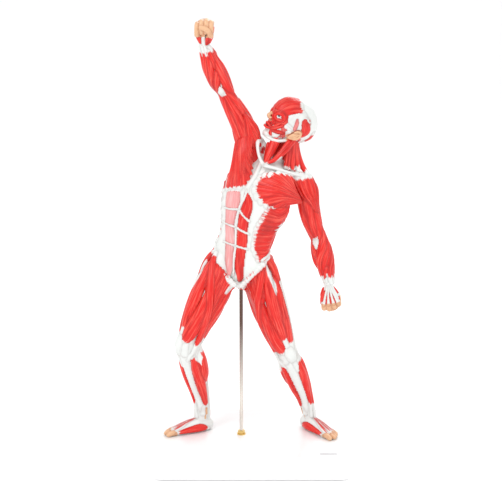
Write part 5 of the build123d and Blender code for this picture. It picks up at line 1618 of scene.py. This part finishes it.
def lay_foot(heel, aim, outer_sign):
    turn = math.radians(aim)
    forward = np.array([math.sin(turn), -math.cos(turn), 0.0])
    outer = outer_sign * np.array([math.cos(turn), math.sin(turn), 0.0])
    axes = np.array([forward, outer, [0.0, 0.0, 1.0]])
    heel = np.array([*heel, 0.0])
    clay = Clay()
    clay.floor = 0.0

    def at(f, o, u, out, w=2.0, h=2.0):
        return (*(heel + np.array([f, o, u]) @ axes), *(unit(out) @ axes), w, h)

    def on_top(f, o, lift, w, h):
        """Row on the upper side of the foot."""
        middle, high, wide = (np.interp(f, (2, 9, 20, 32, 42), sizes) for sizes in
                              ((6.5, 8.0, 7.5, 5.0, 3.4), (7.0, 8.6, 8.0, 6.6, 4.4),
                               (6.4, 6.8, 7.0, 8.2, 9.2)))
        rise = high * math.sqrt(max(0.05, 1 - (o / wide) ** 2))
        return at(f, o, middle + rise + lift - h, (0.3, 0.06 * o, 1), w, h)

    clay.lay([Strap([at(2, 0, 6.5, (0, 0, 1), 6.4, 7.0), at(9, 0, 8.0, (0, 0, 1), 6.8, 8.6),
                     at(20, 0, 7.5, (0.1, 0, 1), 7.0, 8.0), at(32, 0.4, 5.0, (0.2, 0, 1), 8.2, 6.6),
                     at(42, 0.6, 3.4, (0.1, 0, 1), 9.2, 4.4)], red=no_red),
              Strap([at(9, 0, 8, (1, 0, 0), 5.4, 6.4), at(10, 0, 20, (1, 0, 0), 4.8, 5.8)], red=no_red)],
             soft=0.0, within=6.0)
    # Ankle bones and the long tendon at the back.
    for side, height in ((1, 14.5), (-1, 17.0)):
        clay.lay(Strap([at(10.5, side * 4.6, height, (0, side, 0), 2.6, 2.4),
                        at(10.0, side * 4.2, height + 4, (0, side, 0), 2.2, 2.2)], red=no_red), soft=1.6)
    clay.lay(Strap([at(0.4, 0, 3.0, (-1, 0, 0), 3.4, 2.4), at(1.6, 0, 10.0, (-1, 0, 0.2), 2.6, 2.2),
                    at(3.4, 0, 20.0, (-1, 0, 0), 2.4, 2.0)], red=no_red), soft=1.5)
    # Muscles along the inner and outer edges of the sole.
    clay.lay(Strap([at(4.0, -4.6, 4.4, (0, -1, 0.3), 3.2, 2.2), at(14.0, -6.8, 6.0, (0, -1, 0.4), 4.6, 2.8),
                    at(26.0, -7.2, 5.2, (0, -1, 0.5), 3.8, 2.6), at(38.0, -8.2, 4.0, (0, -1, 0.5), 2.2, 2.0),
                    at(45.0, -8.6, 3.4, (0, -1, 0.6), 1.4, 1.4)], red=(0.05, 0.90)), soft=0.6)
    clay.lay(Strap([at(4.0, 4.6, 3.4, (0, 1, 0.3), 2.4, 2.2), at(16.0, 7.2, 3.4, (0, 1, 0.4), 2.6, 2.4),
                    at(28.0, 8.4, 3.2, (0, 1, 0.5), 2.4, 2.2), at(42.0, 9.6, 2.8, (0, 1, 0.5), 1.6, 1.6)],
                   red=(0.05, 0.80)), soft=0.6)
    # Short muscle on the outer top, with red lines running forward between the tendons.
    clay.lay(Strap([at(17.0, 4.8, 11.0, (0.2, 0.5, 1), 2.6, 2.0),
                    at(25.0, 3.6, 10.4, (0.3, 0.3, 1), 3.2, 2.0),
                    at(32.0, 1.4, 9.6, (0.3, 0.1, 1), 2.0, 1.6)], red=(0.1, 0.9)), soft=0.5)
    # Tendons: to the big toe, and four that fan out to the others.
    toes = ((-6.6, 51.5, 3.3, 3.1), (-1.2, 53.5, 2.3, 2.5), (2.8, 51.5, 2.1, 2.3), (6.4, 48.5, 2.0, 2.2),
            (9.6, 45.0, 1.9, 2.0))
    for i, (o, reach, w, h) in enumerate(toes):
        start = at(14.0, -2.2 if i == 0 else -0.4 + 0.5 * i, 15.0, (0.8, 0, 1), 1.3, 1.2)
        clay.lay(Strap([start, on_top(25.0, 0.45 * o, 0.7, 1.0, 1.1), on_top(36.0, 0.8 * o, 0.7, 1.1, 1.1),
                        at(reach - 5, o, 5.6 - 0.1 * abs(o), (0.2, 0, 1), 1.3, 1.1)],
                       red=no_red, step=1.5), soft=0.4)
        clay.lay(Strap([at(reach - 10, o * 0.96, 3.0, (0.1, 0, 1), w, h),
                        at(reach - 4, o, 3.6, (0, 0, 1), w * 0.92, h * 0.92),
                        at(reach + 1, o, 2.6, (0.4, 0, 1), w * 0.96, h * 0.86)],
                       red=no_red, step=1.5), soft=0.4)
        clay.brush([at(reach - 3, o, 6.0, (0, 0, 1), 1, 1), at(reach + 4, o, 6.0, (0, 0, 1), 1, 1)], w * 1.15,
                   "skin", 8.0)
        clay.brush([at(reach + 3, o, 3.0, (1, 0, 0), 1, 1), at(reach + 3, o, 1.0, (1, 0, 0), 1, 1)], w * 1.3,
                   "skin", 5.0)
    for o, first in ((-3.6, 17.0), (0.8, 15.0), (4.6, 17.0), (7.8, 20.0)):
        clay.brush([on_top(first, 0.2 * o, 0.0, 1, 1), on_top(27.0, 0.5 * o, 0.0, 1, 1),
                    on_top(36.0, 0.82 * o, 0.0, 1, 1), on_top(44.0, o, 0.0, 1, 1)],
                   (0.7, 1.2, 1.3, 0.8), "red", 4.0)
    clay.brush([at(46.0, -10.0, 3.0, (0, -1, 0), 1, 1), at(55.0, -10.0, 3.0, (0, -1, 0), 1, 1)], 3.4, "skin",
               5.0)
    clay.brush([at(42.0, 11.5, 2.5, (0, 1, 0), 1, 1), at(50.0, 11.5, 2.5, (0, 1, 0), 1, 1)], 3.0, "skin", 5.0)
    return clay


cast("right_foot", lay_foot((-49.5, 11.5), -68.0, -1), 0.55)
cast("left_foot", lay_foot((62.0, 21.0), 38.0, 1), 0.55)
